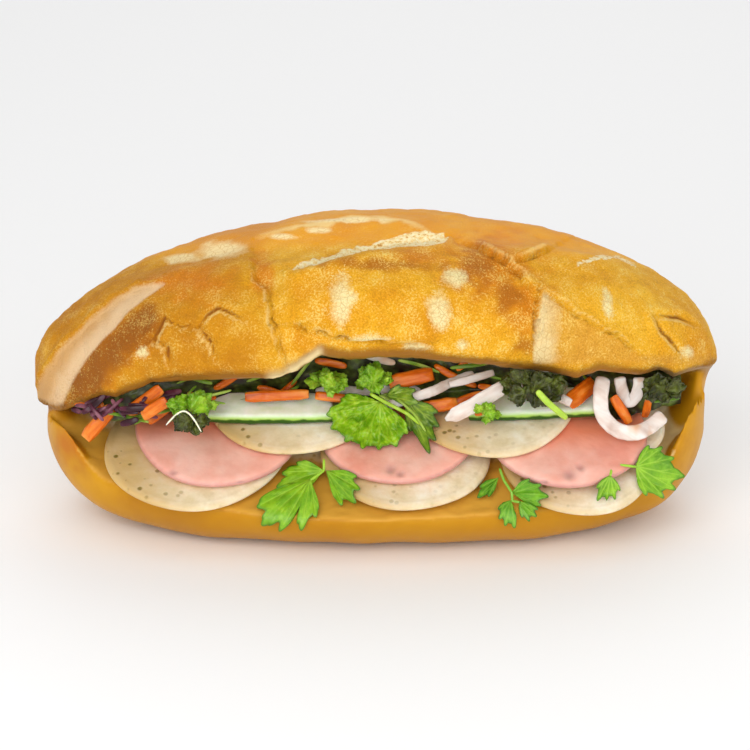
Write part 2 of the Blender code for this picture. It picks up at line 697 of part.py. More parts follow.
clear_scene()
bread_roll()
sliced_meats()
cucumber_plank("cucumber_left", -53.0, -13.5, 31.0, 11.0)
cucumber_plank("cucumber_right", 29.0, 69.5, 30.0, 11.0)
salad_heap()
greens_in_the_mouth()
carrot_batons()
daikon_strips()
daikon_loops()
greens_over_the_strips()
front_sprigs()
centre_on_origin()
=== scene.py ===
import math
import random

import bpy
import numpy as np
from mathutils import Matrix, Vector, noise
from mathutils.bvhtree import BVHTree


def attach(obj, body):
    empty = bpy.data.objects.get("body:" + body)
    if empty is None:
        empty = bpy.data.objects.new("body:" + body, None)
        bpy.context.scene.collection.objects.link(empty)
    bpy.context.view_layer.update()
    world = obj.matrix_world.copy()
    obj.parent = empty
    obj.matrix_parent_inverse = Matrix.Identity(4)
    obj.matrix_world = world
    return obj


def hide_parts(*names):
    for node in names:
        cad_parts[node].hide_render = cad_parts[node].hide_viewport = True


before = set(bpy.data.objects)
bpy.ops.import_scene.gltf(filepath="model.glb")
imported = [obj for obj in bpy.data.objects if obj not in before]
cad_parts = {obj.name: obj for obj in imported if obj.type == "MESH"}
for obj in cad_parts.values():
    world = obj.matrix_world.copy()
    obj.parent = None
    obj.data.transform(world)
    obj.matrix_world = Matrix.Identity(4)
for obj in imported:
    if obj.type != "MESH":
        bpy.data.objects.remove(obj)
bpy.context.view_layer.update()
mm = 0.001
random.seed(7)

# the filling is laid on from the front, along a line that falls by this angle
layFall = math.radians(21.0)
layDirection = np.array((0.0, math.cos(layFall), -math.sin(layFall)))
layUp = np.array((0.0, math.sin(layFall), math.cos(layFall)))


# ---- small helpers ----

def toLinear(hexColour):
    channels = [int(hexColour[i:i + 2], 16) / 255.0 for i in (0, 2, 4)]
    return tuple(c / 12.92 if c <= 0.04045 else ((c + 0.055) / 1.055) ** 2.4 for c in channels) + (1.0,)


def addNode(tree, kind, settings=None, links=None):
    # settings fill the node's own properties or its sockets, links join sockets to other nodes
    node = tree.nodes.new(kind)
    for key, value in (settings or {}).items():
        if key == "stops":
            while len(node.color_ramp.elements) < len(value):
                node.color_ramp.elements.new(0.5)
            for element, (position, colour) in zip(node.color_ramp.elements, value):
                element.position = position
                element.color = toLinear(colour)
        elif isinstance(key, str) and hasattr(node, key):
            setattr(node, key, value)
        else:
            node.inputs[key].default_value = value
    for key, source in (links or {}).items():
        tree.links.new(source, node.inputs[key])
    return node


def startMaterial(name, sockets):
    material = bpy.data.materials.new(name)
    material.use_nodes = True
    shader = material.node_tree.nodes["Principled BSDF"]
    for key, value in sockets.items():
        shader.inputs[key].default_value = value
    place = addNode(material.node_tree, "ShaderNodeTexCoord").outputs["Object"]
    return material, material.node_tree, shader, place


def paintOver(tree, colour, layers):
    # each layer: a mask's output and the colour that it brings in
    for mask, hexColour in layers:
        colour = addNode(tree, "ShaderNodeMix", {"data_type": "RGBA", 7: toLinear(hexColour)},
                         {0: mask, 6: colour}).outputs[2]
    return colour


def selectOnly(piece):
    if bpy.context.object and bpy.context.object.mode != "OBJECT":
        bpy.ops.object.mode_set(mode="OBJECT")
    bpy.ops.object.select_all(action="DESELECT")
    piece.select_set(True)
    bpy.context.view_layer.objects.active = piece


def applyModifier(piece, kind, settings):
    selectOnly(piece)
    modifier = piece.modifiers.new(kind.title(), kind)
    for key, value in settings.items():
        setattr(modifier, key, value)
    bpy.ops.object.modifier_apply(modifier=modifier.name)


def copyOfNode(nodeName, pieceName):
    # a copy of a CAD node's mesh, merged and back in quads where it can be
    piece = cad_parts[nodeName].copy()
    piece.data = piece.data.copy()
    piece.name = pieceName
    piece.data.name = pieceName
    piece.parent = None
    bpy.context.scene.collection.objects.link(piece)
    selectOnly(piece)
    bpy.ops.object.mode_set(mode="EDIT")
    bpy.ops.mesh.select_all(action="SELECT")
    bpy.ops.mesh.remove_doubles(threshold=0.00002)
    bpy.ops.mesh.customdata_custom_splitnormals_clear()
    bpy.ops.mesh.tris_convert_to_quads(face_threshold=math.radians(40), shape_threshold=math.radians(50))
    bpy.ops.object.mode_set(mode="OBJECT")
    return piece


def pointsOf(piece):
    points = np.empty(len(piece.data.vertices) * 3)
    piece.data.vertices.foreach_get("co", points)
    return points.reshape(-1, 3) / mm


def normalsOf(piece):
    normals = np.empty(len(piece.data.vertices) * 3)
    piece.data.vertex_normals.foreach_get("vector", normals)
    return normals.reshape(-1, 3)


def setPoints(piece, points):
    piece.data.vertices.foreach_set("co", (points * mm).ravel())
    piece.data.update()


def setMask(piece, name, values):
    mask = piece.data.attributes.get(name) or piece.data.attributes.new(name, "FLOAT", "POINT")
    mask.data.foreach_set("value", np.clip(values, 0.0, 1.0).astype(np.float32))


def grain(points, size, octaves=2, seed=0.0):
    # soft noise from -1 to 1 with lumps of the given size in mm
    return np.array([noise.fractal(Vector(p), 1.0, 2.0, octaves) for p in points / size + seed])


def ramp(low, high, value):
    share = np.clip((value - low) / (high - low), 0.0, 1.0)
    return share * share * (3.0 - 2.0 * share)


def nearLine(line, x, rise):
    # distance to a line of (x, rise) places, share of the way along it, and side: above is positive
    best = np.full(len(x), 1e9)
    along = np.zeros(len(x))
    side = np.zeros(len(x))
    lengths = [math.dist(a, b) for a, b in zip(line, line[1:])]
    gone = 0.0
    for (ax, ar), (bx, br), length in zip(line, line[1:], lengths):
        dx, dr = (bx - ax) / length, (br - ar) / length
        t = np.clip((x - ax) * dx + (rise - ar) * dr, 0.0, length)
        off = np.hypot(x - ax - dx * t, rise - ar - dr * t)
        nearer = off < best
        best = np.where(nearer, off, best)
        along = np.where(nearer, (gone + t) / sum(lengths), along)
        side = np.where(nearer, np.sign((rise - ar) * dx - (x - ax) * dr), side)
        gone += length
    return best, along, side


def finishPiece(piece, material, slot, *nodes):
    piece.data.materials.clear()
    piece.data.materials.append(material)
    selectOnly(piece)
    bpy.ops.object.shade_smooth()
    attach(piece, "root")
    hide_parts(*nodes)


# the roll
breadSettings = {
    "voxel": 1.07,          # mm, fine enough for cracks and blisters
    "evenOut": 8,           # smoothing passes that take out the solid's facets
    "lumps": 0.8,
    "blisters": 0.2,
    # the lid's lower edge and the crust's features, as (x, rise): along the roll and up its front, in mm
    "lip": [(-106, 33), (-99, 33), (-91, 34.5), (-86, 36.8), (-81, 36), (-75, 38.5), (-69, 41), (-61, 41.6), (-51, 41.9),
            (-38, 42.5), (-31, 42.2), (-24, 44.7), (-17, 49.4), (-8, 48.0), (1.5, 48.9), (14, 48.6), (21, 47.4),
            (31, 46.8), (42, 45.3), (53, 44.5), (62, 42.4), (69, 44.7), (82, 43.4), (88, 45), (93, 43), (97, 43.8),
            (106, 47.5)],
    "score": [(-25, 76), (-14, 79), (-3, 82), (7, 84), (20, 85.3)],
    "backRidge": [(-37, 86), (-26, 89), (-15, 90.5), (-8, 92), (0, 92), (6, 91.5), (12, 90), (18, 87)],
    "leftTear": [(-66, 71.5), (-73, 68.5), (-80, 64), (-87, 57), (-94, 50), (-100, 42), (-104, 35)],
    "cracks": [
        [(-78, 48.5), (-73, 51.5), (-68, 54), (-65, 61), (-60, 58), (-54, 58)],
        [(-54, 58), (-51, 62), (-48, 64), (-44, 62), (-40, 60)],
        [(-68, 54), (-64, 52), (-63, 46.5)],
        [(-54, 57.5), (-51, 53), (-49, 48)],
        [(86, 62), (89, 56), (93, 52), (96, 49)],
        [(87, 61.5), (95, 61), (100, 59)],
    ],
    # raised on the side that the line has on its left
    "plateEdges": [
        [(-27, 45), (-30, 53), (-32, 61), (-33, 69), (-37, 72), (-38, 79)],
        [(-31, 58), (-25, 58), (-19, 57), (-14, 55), (-6, 53.5), (7, 53), (17, 53)],
        [(29, 84), (34, 82), (40, 78), (44, 75), (48, 70)],
        [(43, 78), (49, 80), (55, 83)],
        [(50, 69), (61, 62), (68, 58), (76, 54), (81, 50)],
        [(50, 69.5), (48.6, 60), (48.4, 51)],
    ],
    # patches: x, rise, reach along x, reach along rise
    # the first patches are painted highlights, where the glossy crust catches the light
    "flour": [(-10.5, 66, 4.6, 9.5), (19, 62.5, 4.6, 8.0), (24, 73, 4.5, 4.0), (71, 64.5, 2.4, 5.4), (26, 52.5, 2.6, 2.4),
              (-2, 54.6, 9.0, 1.3), (12, 51.5, 6.0, 1.6), (97, 50.5, 3.0, 2.4), (-72, 50, 3.0, 2.0)],
    "cream": [(-49, 82.4, 9.5, 3.6), (-61, 79.8, 7.0, 1.8), (-29, 86.2, 5.0, 1.0), (-18.5, 88.4, 5.0, 0.9),
              (-9, 91.6, 15.0, 1.0)],
    "amber": [(36, 76, 17.0, 12.0), (44, 65, 9.0, 10.0), (14, 79, 12.0, 3.0), (-57, 72, 13.0, 7.0), (-35, 74, 4.0, 9.0),
              (-78, 54, 10.0, 8.0), (-86, 46, 8.0, 9.0)],
    "scorch": [(-92, 39), (-86, 46), (-79, 53), (-71, 59.5)],
    "toast": [(31, 77, 6.0, 9.0), (40, 68, 5.0, 7.0),
              (2, 76.5, 20.0, 2.0), (45, 52, 4.0, 2.6), (-97, 33, 6.0, 5.0), (-96, 22, 6.0, 7.0)],
}


def lineHeight(line, x):
    return np.interp(x, [place[0] for place in line], [place[1] for place in line])


def insideOfSlit(points, normals):
    # the two cut faces: the bed, which slopes up to the hinge, and the underside of the lid
    slope = math.radians(21.0)
    offBed = (points[:, 2] - 15.0) * math.cos(slope) - (points[:, 1] + 44.4) * math.sin(slope)
    leaning = normals[:, 2] * math.cos(slope) - normals[:, 1] * math.sin(slope)
    bed = ramp(0.75, 0.9, leaning) * ramp(6.0, 3.0, np.abs(offBed))
    under = ramp(-0.3, -0.6, normals[:, 2]) * ramp(36.0, 40.0, points[:, 2])
    return bed, under


def dropLip(points, normals, line):
    # brings the lid's edge to its own uneven line, fading out up the front and into the slit
    x = points[:, 0]
    rise = points @ layUp
    rimY = -46.0 * np.sqrt(np.clip(1.0 - np.abs(x / 108.5) ** 2.4, 0.0, 1.0))
    onLid = (normals @ layDirection < -0.2) & (rise > lineHeight(line, x) - 7.0) & (points[:, 1] < rimY + 16.0)
    bins = np.round((x + 112.0) / 2.0).astype(int)
    edge = np.full(bins.max() + 1, np.nan)
    front = np.zeros(len(edge))
    for k in range(len(edge)):
        chosen = onLid & (bins == k) & (points[:, 2] > 33.0)
        low = chosen & (rise < lineHeight(line, x) + 9.0)
        if low.any():
            best = np.where(low)[0][np.argmin(rise[low])]
            edge[k] = rise[best]
            front[k] = points[best, 1]
    known = ~np.isnan(edge) & (np.abs(np.arange(len(edge)) * 2.0 - 112.0) < 96.0)
    places = np.arange(len(edge)) * 2.0 - 112.0
    current = np.interp(x, places[known], edge[known])
    lipY = np.interp(x, places[known], front[known])
    target = lineHeight(line, x)
    share = ramp(17.0, 1.0, rise - current) * ramp(-5.0, -1.5, rise - current) * ramp(24.0, 6.0, points[:, 1] - lipY)
    share *= ramp(107.0, 96.0, np.abs(x))
    points[:, 2] += (target - current) * share / math.cos(layFall)
    return current, lipY


def makeBread(settings):
    bread = copyOfNode("bread_roll", "breadRoll")
    applyModifier(bread, "SUBSURF", {"levels": 2, "render_levels": 2})
    applyModifier(bread, "REMESH", {"mode": "VOXEL", "voxel_size": settings["voxel"] * mm})
    applyModifier(bread, "SMOOTH", {"factor": 0.5, "iterations": settings["evenOut"]})
    points = pointsOf(bread)
    dropLip(points, normalsOf(bread), settings["lip"])
    setPoints(bread, points)
    normals = normalsOf(bread)
    x = points[:, 0]
    rise = points @ layUp
    facing = ramp(-0.05, 0.3, -(normals @ layDirection))
    bed, under = insideOfSlit(points, normals)
    cut = np.maximum(bed, under)
    crust = 1.0 - cut
    lid = ramp(-2.5, 0.0, rise - lineHeight(settings["lip"], x)) * ramp(28.0, 33.0, points[:, 2]) * crust
    front = facing * lid
    fine = grain(points, 1.6, 2)
    medium = grain(points, 4.5, 2, 11.0)
    broad = grain(points, 22.0, 2, 31.0)
    lift = settings["lumps"] * broad * crust + 0.3 * medium * lid + 0.35 * grain(points, 9.0, 2, 71.0) * lid
    masks = {name: np.zeros(len(x)) for name in ("torn", "pink", "flour", "cream", "toast", "amber", "crack", "pale")}

    # the baker's cut across the top: a torn strip of crumb that widens to the right, behind a raised ear
    off, along, side = nearLine(settings["score"], x, rise)
    width = np.interp(along, (0.0, 0.1, 0.5, 0.9, 1.0), (0.5, 1.2, 1.8, 2.9, 2.2)) + 0.4 * medium + 0.3 * fine
    inScore = ramp(width + 0.5, width - 0.4, off) * facing
    masks["torn"] = inScore.copy()
    lift += facing * (1.3 * np.exp(-((off - 2.8) / 1.9) ** 2) * (side < 0) - 0.8 * np.exp(-(off / 1.4) ** 2))
    lift += inScore * 0.5 * fine
    # a low ridge along the back, with a painted highlight along it
    off, along, side = nearLine(settings["backRidge"], x, rise)
    taper = np.sin(np.pi * np.clip(0.08 + 0.84 * along, 0.0, 1.0)) ** 0.6
    lift += 0.9 * np.exp(-(off / 2.2) ** 2) * taper * crust
    masks["pale"] = 1.1 * np.exp(-((off + 0.9 * medium) / 1.2) ** 2) * taper * crust

    # the wide smooth tear at the left end, palest along its upper edge
    off, along, side = nearLine(settings["leftTear"], x, rise)
    width = np.interp(along, (0.0, 0.15, 0.4, 0.75, 1.0), (0.5, 2.4, 3.6, 4.4, 5.2)) + 0.4 * medium
    inTear = ramp(width + 0.9, width - 1.1, off) * front
    masks["pink"] = inTear * (0.7 + 0.3 * ramp(0.85, 0.5, along))
    masks["tan"] = inTear * ramp(-0.5, 4.5, -off * side + 1.2 * medium + 2.0 * along)
    lift += front * (-0.7 * inTear + 0.8 * np.exp(-((off - width - 1.0) / 1.1) ** 2) * (side < 0))

    # cracks: a groove, with painted shade along it and a painted highlight on one edge
    for line in settings["cracks"]:
        off, along, side = nearLine(line, x + 0.6 * medium, rise + 0.4 * medium)
        taper = np.sin(np.pi * np.clip(0.1 + 0.8 * along, 0.0, 1.0)) ** 0.5
        lift -= 0.9 * np.exp(-(off / 0.75) ** 2) * taper * front
        lift += 0.55 * np.exp(-((off - 2.0) / 1.4) ** 2) * taper * front
        masks["crack"] = np.maximum(masks["crack"], np.exp(-(off / 0.85) ** 2) * taper * front)
        masks["pale"] = np.maximum(masks["pale"], 0.9 * np.exp(-((off - 1.2) / 0.6) ** 2) * taper * (side < 0) * front)
    # plate edges: a raised step, with painted shade in the crease and a painted highlight on the raised side
    for line in settings["plateEdges"]:
        off, along, side = nearLine(line, x + 0.6 * medium, rise + 0.6 * medium)
        taper = np.sin(np.pi * np.clip(0.06 + 0.88 * along, 0.0, 1.0)) ** 0.5
        step = np.exp(-off / 6.0) * side
        lift += (1.4 * step + 0.6 * np.exp(-((off - 1.0) / 0.9) ** 2) - 0.8 * np.exp(-(off / 0.8) ** 2)) * taper * front
        masks["pale"] = np.maximum(masks["pale"],
                                   0.8 * np.exp(-((off - 0.8) / 0.6) ** 2) * taper * (side > 0) * front)
        masks["crack"] = np.maximum(masks["crack"], 0.72 * np.exp(-(off / 0.8) ** 2) * taper * front)

    for name, edge in (("flour", 0.3), ("cream", 0.3), ("toast", 0.6), ("amber", 0.45)):
        for centreX, centreRise, reachX, reachRise in settings[name]:
            reach = np.hypot((x - centreX) / reachX, (rise - centreRise) / reachRise)
            masks[name] = np.maximum(masks[name], ramp(1.35, 0.25, reach + edge * medium) * facing * crust)

    off, along, side = nearLine(settings["scorch"], x, rise)
    masks["toast"] = np.maximum(masks["toast"], ramp(7.5, 1.5, off + 2.2 * medium + 1.5 * broad) * front)

    # a fan of bared crumb under the fold, crisp on its left and fading into gold on its right
    foldHeight = np.interp(x, (50.0, 61.0, 68.0, 76.0, 81.0), (69.5, 62.0, 58.0, 54.0, 50.0))
    fanLeft = np.interp(rise, (44.0, 60.0, 70.0), (47.6, 48.8, 51.0)) + 0.3 * medium
    fan = ramp(-0.3, 0.6, x - fanLeft) * ramp(0.2, -1.6, rise - foldHeight) * ramp(45.0, 48.0, rise)
    masks["cream"] = np.maximum(masks["cream"], 0.8 * fan * ramp(9.5, 0.5, x - fanLeft - 0.12 * (69.0 - rise)
                                                                                + 1.5 * medium) * front)
    masks["fan"] = fan * front

    # crumbs along the top edge of the right plate
    off, along, side = nearLine([(63, 77.5), (70, 80), (77, 80.5), (82, 78)], x, rise)
    masks["torn"] = np.maximum(masks["torn"], 0.9 * ramp(1.5, 0.5, off + 1.2 * np.abs(fine)) * front)

    # the crust above the edge is drawn down in small pleats towards the right
    pleats = np.abs(np.sin(x * 1.35 + 1.5 * medium))
    lift += 0.5 * (pleats - 0.5) * ramp(33.0, 37.0, x) * ramp(52.0, 47.0, x) * ramp(56.0, 50.0, rise) * front

    # rough skin on the lid's front; the back of the top and the lower half baked smoother
    behind = ramp(0.0, 0.5, normals[:, 1]) * ramp(76.0, 64.0, points[:, 2])
    rough = lid * (0.25 + 0.75 * np.maximum(facing * ramp(87.0, 81.0, rise + 0.06 * np.abs(x)), 0.8 * behind))
    blister = np.clip(grain(points, 2.4, 1, 53.0), 0.0, 1.0) ** 2
    lift += settings["blisters"] * rough * (2.4 * blister + 0.9 * fine)
    lift += 0.55 * fine * ramp(4.5, 0.5, rise - lineHeight(settings["lip"], x)) * front
    lift += cut * (0.3 * medium + 0.2 * fine)

    # ragged lip
    aboveLip = rise - lineHeight(settings["lip"], x)
    nearLip = np.exp(-(aboveLip / 2.0) ** 2) * facing * ramp(28.0, 33.0, points[:, 2])
    points[:, 2] += nearLip * (0.5 * grain(np.stack((x, 0 * x, 0 * x), 1), 4.0, 3, 5.0) + 0.3 * fine)
    points += normals * lift[:, None]
    setPoints(bread, points)
    # the crumb shows only well inside; the rims of both cuts have browned
    rimY = -46.0 * np.sqrt(np.clip(1.0 - np.abs(x / 108.5) ** 2.4, 0.0, 1.0))
    inside = ramp(24.0, 32.0, points[:, 1] - rimY + 2.0 * medium)
    masks["browned"] = cut * (1.0 - inside)
    masks["cut"] = cut * inside
    masks["paleLip"] = nearLip * ramp(-35.0, -31.0, x) * ramp(-15.0, -18.0, x)
    # painted shade along the lid's lower edge and on its downturned underside
    turned = ramp(-0.05, -0.5, normals[:, 2]) * ramp(4.0, 2.0, aboveLip) * (points[:, 1] < rimY + 16.0)
    masks["underLip"] = np.maximum(np.exp(-((aboveLip + 0.2) / 0.9) ** 2), turned) * ramp(28.0, 33.0, points[:, 2])
    masks["rough"] = rough
    masks["smooth"] = ramp(76.0, 86.0, rise - 6.0 * (1.0 - facing) + 12.0 * (1.0 - facing)) * lid * (1.0 - rough)
    masks["base"] = ramp(27.0, 9.0, points[:, 2]) * ramp(104.0, 70.0, np.abs(x)) * crust
    # painted light: the cut faces at the right end made lighter than the crumb's own cream, to offset the shade of the
    # deep cavity
    masks["bareEnd"] = cut * ramp(82.0, 92.0, x)
    masks["lid"] = lid
    masks["west"] = ramp(-22.0, -42.0, x) * lid
    for name, values in masks.items():
        setMask(bread, name, values)
    return bread


# wheat crust, steam baked: thin and brittle, glossy gold where smooth, speckled where it blistered
def bakedCrust():
    material, tree, shader, place = startMaterial("bakedCrust", {
        "Roughness": 0.5, "IOR": 1.45, "Subsurface Weight": 0.06, "Subsurface Scale": 0.002,
        "Subsurface Radius": (1.0, 0.5, 0.2), "Specular IOR Level": 0.25})
    masks = {name: addNode(tree, "ShaderNodeAttribute", {"attribute_name": name}).outputs["Fac"]
             for name in ("torn", "pink", "flour", "cream", "toast", "amber", "crack", "pale", "cut", "browned", "rough", "lid",
                          "west", "paleLip", "underLip", "smooth", "base", "fan", "tan", "bareEnd")}
    # oven colour drifts over 15 to 30 mm
    drift = addNode(tree, "ShaderNodeTexNoise", {"Scale": 45.0, "Detail": 4.0, "Roughness": 0.6}, {"Vector": place})
    base = addNode(tree, "ShaderNodeValToRGB", {"stops": [(0.3, "E69606"), (0.5, "F2AE18"), (0.72, "F9BE2E")]},
                   {"Fac": drift.outputs["Fac"]}).outputs["Color"]
    # the left of the lid is a deeper brown gold
    west = addNode(tree, "ShaderNodeValToRGB", {"stops": [(0.3, "C67C06"), (0.5, "D8920C"), (0.72, "E6A616")]},
                   {"Fac": drift.outputs["Fac"]}).outputs["Color"]
    # the lower half: an even, slightly duller gold
    lower = addNode(tree, "ShaderNodeValToRGB", {"stops": [(0.3, "B97A0A"), (0.5, "CB8F0E"), (0.75, "D99D14")]},
                    {"Fac": drift.outputs["Fac"]}).outputs["Color"]
    colour = addNode(tree, "ShaderNodeMix", {"data_type": "RGBA"}, {0: masks["lid"], 6: lower, 7: base}).outputs[2]
    colour = addNode(tree, "ShaderNodeMix", {"data_type": "RGBA"}, {0: masks["west"], 6: colour, 7: west}).outputs[2]
    colour = paintOver(tree, colour, [(addNode(tree, "ShaderNodeMath", {"operation": "MULTIPLY", 1: 0.75},
                                               {0: masks["smooth"]}).outputs[0], "E18E06"),
                                      (addNode(tree, "ShaderNodeMath", {"operation": "MULTIPLY", 1: 0.7},
                                               {0: masks["base"]}).outputs[0], "B0780A")])
    # speckle of the blistered skin: grains of 0.5 to 1 mm, gathered in blotches
    speck = addNode(tree, "ShaderNodeTexNoise", {"Scale": 1700.0, "Detail": 3.0, "Roughness": 0.75}, {"Vector": place})
    blotch = addNode(tree, "ShaderNodeTexNoise", {"Scale": 150.0, "Detail": 3.0}, {"Vector": place})
    bias = addNode(tree, "ShaderNodeMath", {"operation": "MULTIPLY_ADD", 1: 0.5, 2: -0.25},
                   {0: blotch.outputs["Fac"]}).outputs[0]
    grainy = addNode(tree, "ShaderNodeMath", {"operation": "ADD"}, {0: speck.outputs["Fac"], 1: bias}).outputs[0]
    bright = addNode(tree, "ShaderNodeMapRange", {"From Min": 0.53, "From Max": 0.68, "To Max": 0.8},
                     {"Value": grainy})
    dark = addNode(tree, "ShaderNodeMapRange", {"From Min": 0.46, "From Max": 0.33, "To Max": 0.42},
                   {"Value": grainy})
    calmer = addNode(tree, "ShaderNodeMath", {"operation": "MULTIPLY_ADD", 1: -0.45, 2: 1.0}, {0: masks["west"]}).outputs[0]
    calmed = addNode(tree, "ShaderNodeMath", {"operation": "MULTIPLY"}, {0: masks["rough"], 1: calmer}).outputs[0]
    brightMask = addNode(tree, "ShaderNodeMath", {"operation": "MULTIPLY"},
                         {0: bright.outputs[0], 1: calmed}).outputs[0]
    darkMask = addNode(tree, "ShaderNodeMath", {"operation": "MULTIPLY"},
                       {0: dark.outputs[0], 1: masks["rough"]}).outputs[0]
    toasted = addNode(tree, "ShaderNodeMath", {"operation": "MULTIPLY", 1: 0.88}, {0: masks["toast"]}).outputs[0]
    ambered = addNode(tree, "ShaderNodeMath", {"operation": "MULTIPLY", 1: 0.8}, {0: masks["amber"]}).outputs[0]
    fanned = addNode(tree, "ShaderNodeMath", {"operation": "MULTIPLY", 1: 0.6}, {0: masks["fan"]}).outputs[0]
    # darkest beside the tear
    scorched = addNode(tree, "ShaderNodeMath", {"operation": "MULTIPLY"}, {0: toasted, 1: masks["west"]}).outputs[0]
    colour = paintOver(tree, colour, [(ambered, "DE8008"), (fanned, "DCA040"), (toasted, "BC6C0A"), (scorched, "96540E"),
                                      (brightMask, "FFE07A"), (darkMask, "B4700E")])
    # patches whose borders are broken up by the grain
    crumbling = {}
    for name, low, high, most in (("torn", 0.35, 0.65, 1.0), ("pink", 0.15, 0.75, 0.95), ("flour", 0.3, 1.05, 0.95),
                                  ("cream", 0.2, 0.85, 0.92), ("pale", 0.3, 0.95, 0.8), ("crack", 0.55, 0.95, 0.9)):
        worn = addNode(tree, "ShaderNodeMath", {"operation": "MULTIPLY_ADD", 1: 1.5 if name == "flour" else 0.7,
                                                2: -0.75 if name == "flour" else -0.35}, {0: grainy})
        mixed = addNode(tree, "ShaderNodeMath", {"operation": "ADD"}, {0: masks[name], 1: worn.outputs[0]})
        ranged = addNode(tree, "ShaderNodeMapRange", {"From Min": low, "From Max": high, "To Max": most},
                         {"Value": mixed.outputs[0]}).outputs[0]
        # nothing outside the patch itself
        crumbling[name] = addNode(tree, "ShaderNodeMath", {"operation": "MULTIPLY"},
                                  {0: ranged, 1: addNode(tree, "ShaderNodeMapRange", {"From Max": 0.12},
                                                         {"Value": masks[name]}).outputs[0]}).outputs[0]
    # torn crumb in the score: cream flakes with brown between them
    flakes = addNode(tree, "ShaderNodeTexNoise", {"Scale": 750.0, "Detail": 4.0, "Roughness": 0.7}, {"Vector": place})
    tornColour = addNode(tree, "ShaderNodeValToRGB", {"stops": [(0.34, "CE8C34"), (0.43, "F6D488"), (0.58, "FFF0C2")]},
                         {"Fac": flakes.outputs["Fac"]}).outputs["Color"]
    # painted highlights on the ridges, the crack edges and the gloss patches; then the cream and pink crumb
    colour = paintOver(tree, colour, [(crumbling["pale"], "FBDA8C"), (crumbling["cream"], "FBE2A6"),
                                      (crumbling["flour"], "FBEBAE"), (crumbling["pink"], "F3CFA0")])
    # the painted highlights and the cream patches are broken into crazed cells of about 2 mm
    crazing = addNode(tree, "ShaderNodeTexVoronoi", {"Scale": 480.0, "feature": "DISTANCE_TO_EDGE"}, {"Vector": place})
    crazed = addNode(tree, "ShaderNodeMapRange", {"From Min": 0.07, "From Max": 0.0, "To Max": 0.55},
                     {"Value": crazing.outputs["Distance"]})
    dusted = addNode(tree, "ShaderNodeMath", {"operation": "MAXIMUM"}, {0: crumbling["flour"], 1: crumbling["cream"]})
    crazed = addNode(tree, "ShaderNodeMath", {"operation": "MULTIPLY"}, {0: crazed.outputs[0], 1: dusted.outputs[0]})
    colour = paintOver(tree, colour, [(crazed.outputs[0], "C98E34")])
    colour = addNode(tree, "ShaderNodeMix", {"data_type": "RGBA"},
                     {0: crumbling["torn"], 6: colour, 7: tornColour}).outputs[2]
    # the tear's lower part in tan, then painted shade in the cracks and creases
    tanned = addNode(tree, "ShaderNodeMath", {"operation": "MULTIPLY", 1: 0.75}, {0: masks["tan"]}).outputs[0]
    colour = paintOver(tree, colour, [(tanned, "D39A50"), (crumbling["crack"], "93500F")])
    # wheat crumb on the cut faces: cream, with open pores of 1 to 3 mm; golden where it browned
    pores = addNode(tree, "ShaderNodeTexVoronoi", {"Scale": 420.0, "feature": "SMOOTH_F1"}, {"Vector": place})
    crumb = addNode(tree, "ShaderNodeValToRGB", {"stops": [(0.1, "C9A468"), (0.35, "F0DDB0"), (0.7, "F7EAC8")]},
                    {"Fac": pores.outputs["Distance"]}).outputs["Color"]
    # the browned rims, the right end brightened as painted light, painted shade under the lip, then the pale lip
    underLip = addNode(tree, "ShaderNodeMath", {"operation": "MULTIPLY", 1: 0.75}, {0: masks["underLip"]}).outputs[0]
    colour = paintOver(tree, colour, [(masks["browned"], "D29A38"), (masks["bareEnd"], "F2D494"), (underLip, "7E4A10"), (masks["paleLip"], "F3DDA6")])
    colour = addNode(tree, "ShaderNodeMix", {"data_type": "RGBA"}, {0: masks["cut"], 6: colour, 7: crumb}).outputs[2]
    tree.links.new(colour, shader.inputs["Base Color"])
    # relief finer than the mesh
    height = addNode(tree, "ShaderNodeMath", {"operation": "MULTIPLY"}, {0: grainy, 1: masks["rough"]}).outputs[0]
    soft = addNode(tree, "ShaderNodeMath", {"operation": "MULTIPLY", 1: 0.3}, {0: masks["torn"]}).outputs[0]
    flaked = addNode(tree, "ShaderNodeMath", {"operation": "MULTIPLY_ADD"},
                     {0: flakes.outputs["Fac"], 1: soft, 2: height}).outputs[0]
    porous = addNode(tree, "ShaderNodeMath", {"operation": "MULTIPLY_ADD"},
                     {0: pores.outputs["Distance"], 1: masks["cut"], 2: flaked}).outputs[0]
    bump = addNode(tree, "ShaderNodeBump", {"Strength": 1.0, "Distance": 0.0008}, {"Height": porous})
    tree.links.new(bump.outputs[0], shader.inputs["Normal"])
    roughness = addNode(tree, "ShaderNodeMapRange", {"To Min": 0.42, "To Max": 0.58}, {"Value": masks["rough"]})
    tree.links.new(roughness.outputs[0], shader.inputs["Roughness"])
    return material


bread = makeBread(breadSettings)
finishPiece(bread, bakedCrust(), "crust", "bread_roll")
print("bread:", len(bread.data.polygons), "faces")


# slices of sausage and ham
sliceSettings = {
    "levels": 3,
    "waver": 0.25,          # unevenness of the sliced faces, mm
    "pork": ["pork_roll_front_left", "pork_roll_front_middle", "pork_roll_front_right", "pork_roll_end_right",
             "pork_roll_upper_left", "pork_roll_upper_right"],
    "ham": ["ham_left", "ham_middle", "ham_right"],
    # small hollows in the ham, as (x, rise, radius), painted darker as the shade in them
    "dents": [(4.6, 14.0, 1.7), (7.5, 12.6, 1.2), (59.6, 12.6, 2.0), (63.2, 14.6, 1.2), (-63, 13, 1.2), (-42, 9.6, 1.0),
              (52, 10.2, 1.0)],
}


def pieceName(node):
    words = node.split("_")
    return words[0] + "".join(word.title() for word in words[1:])


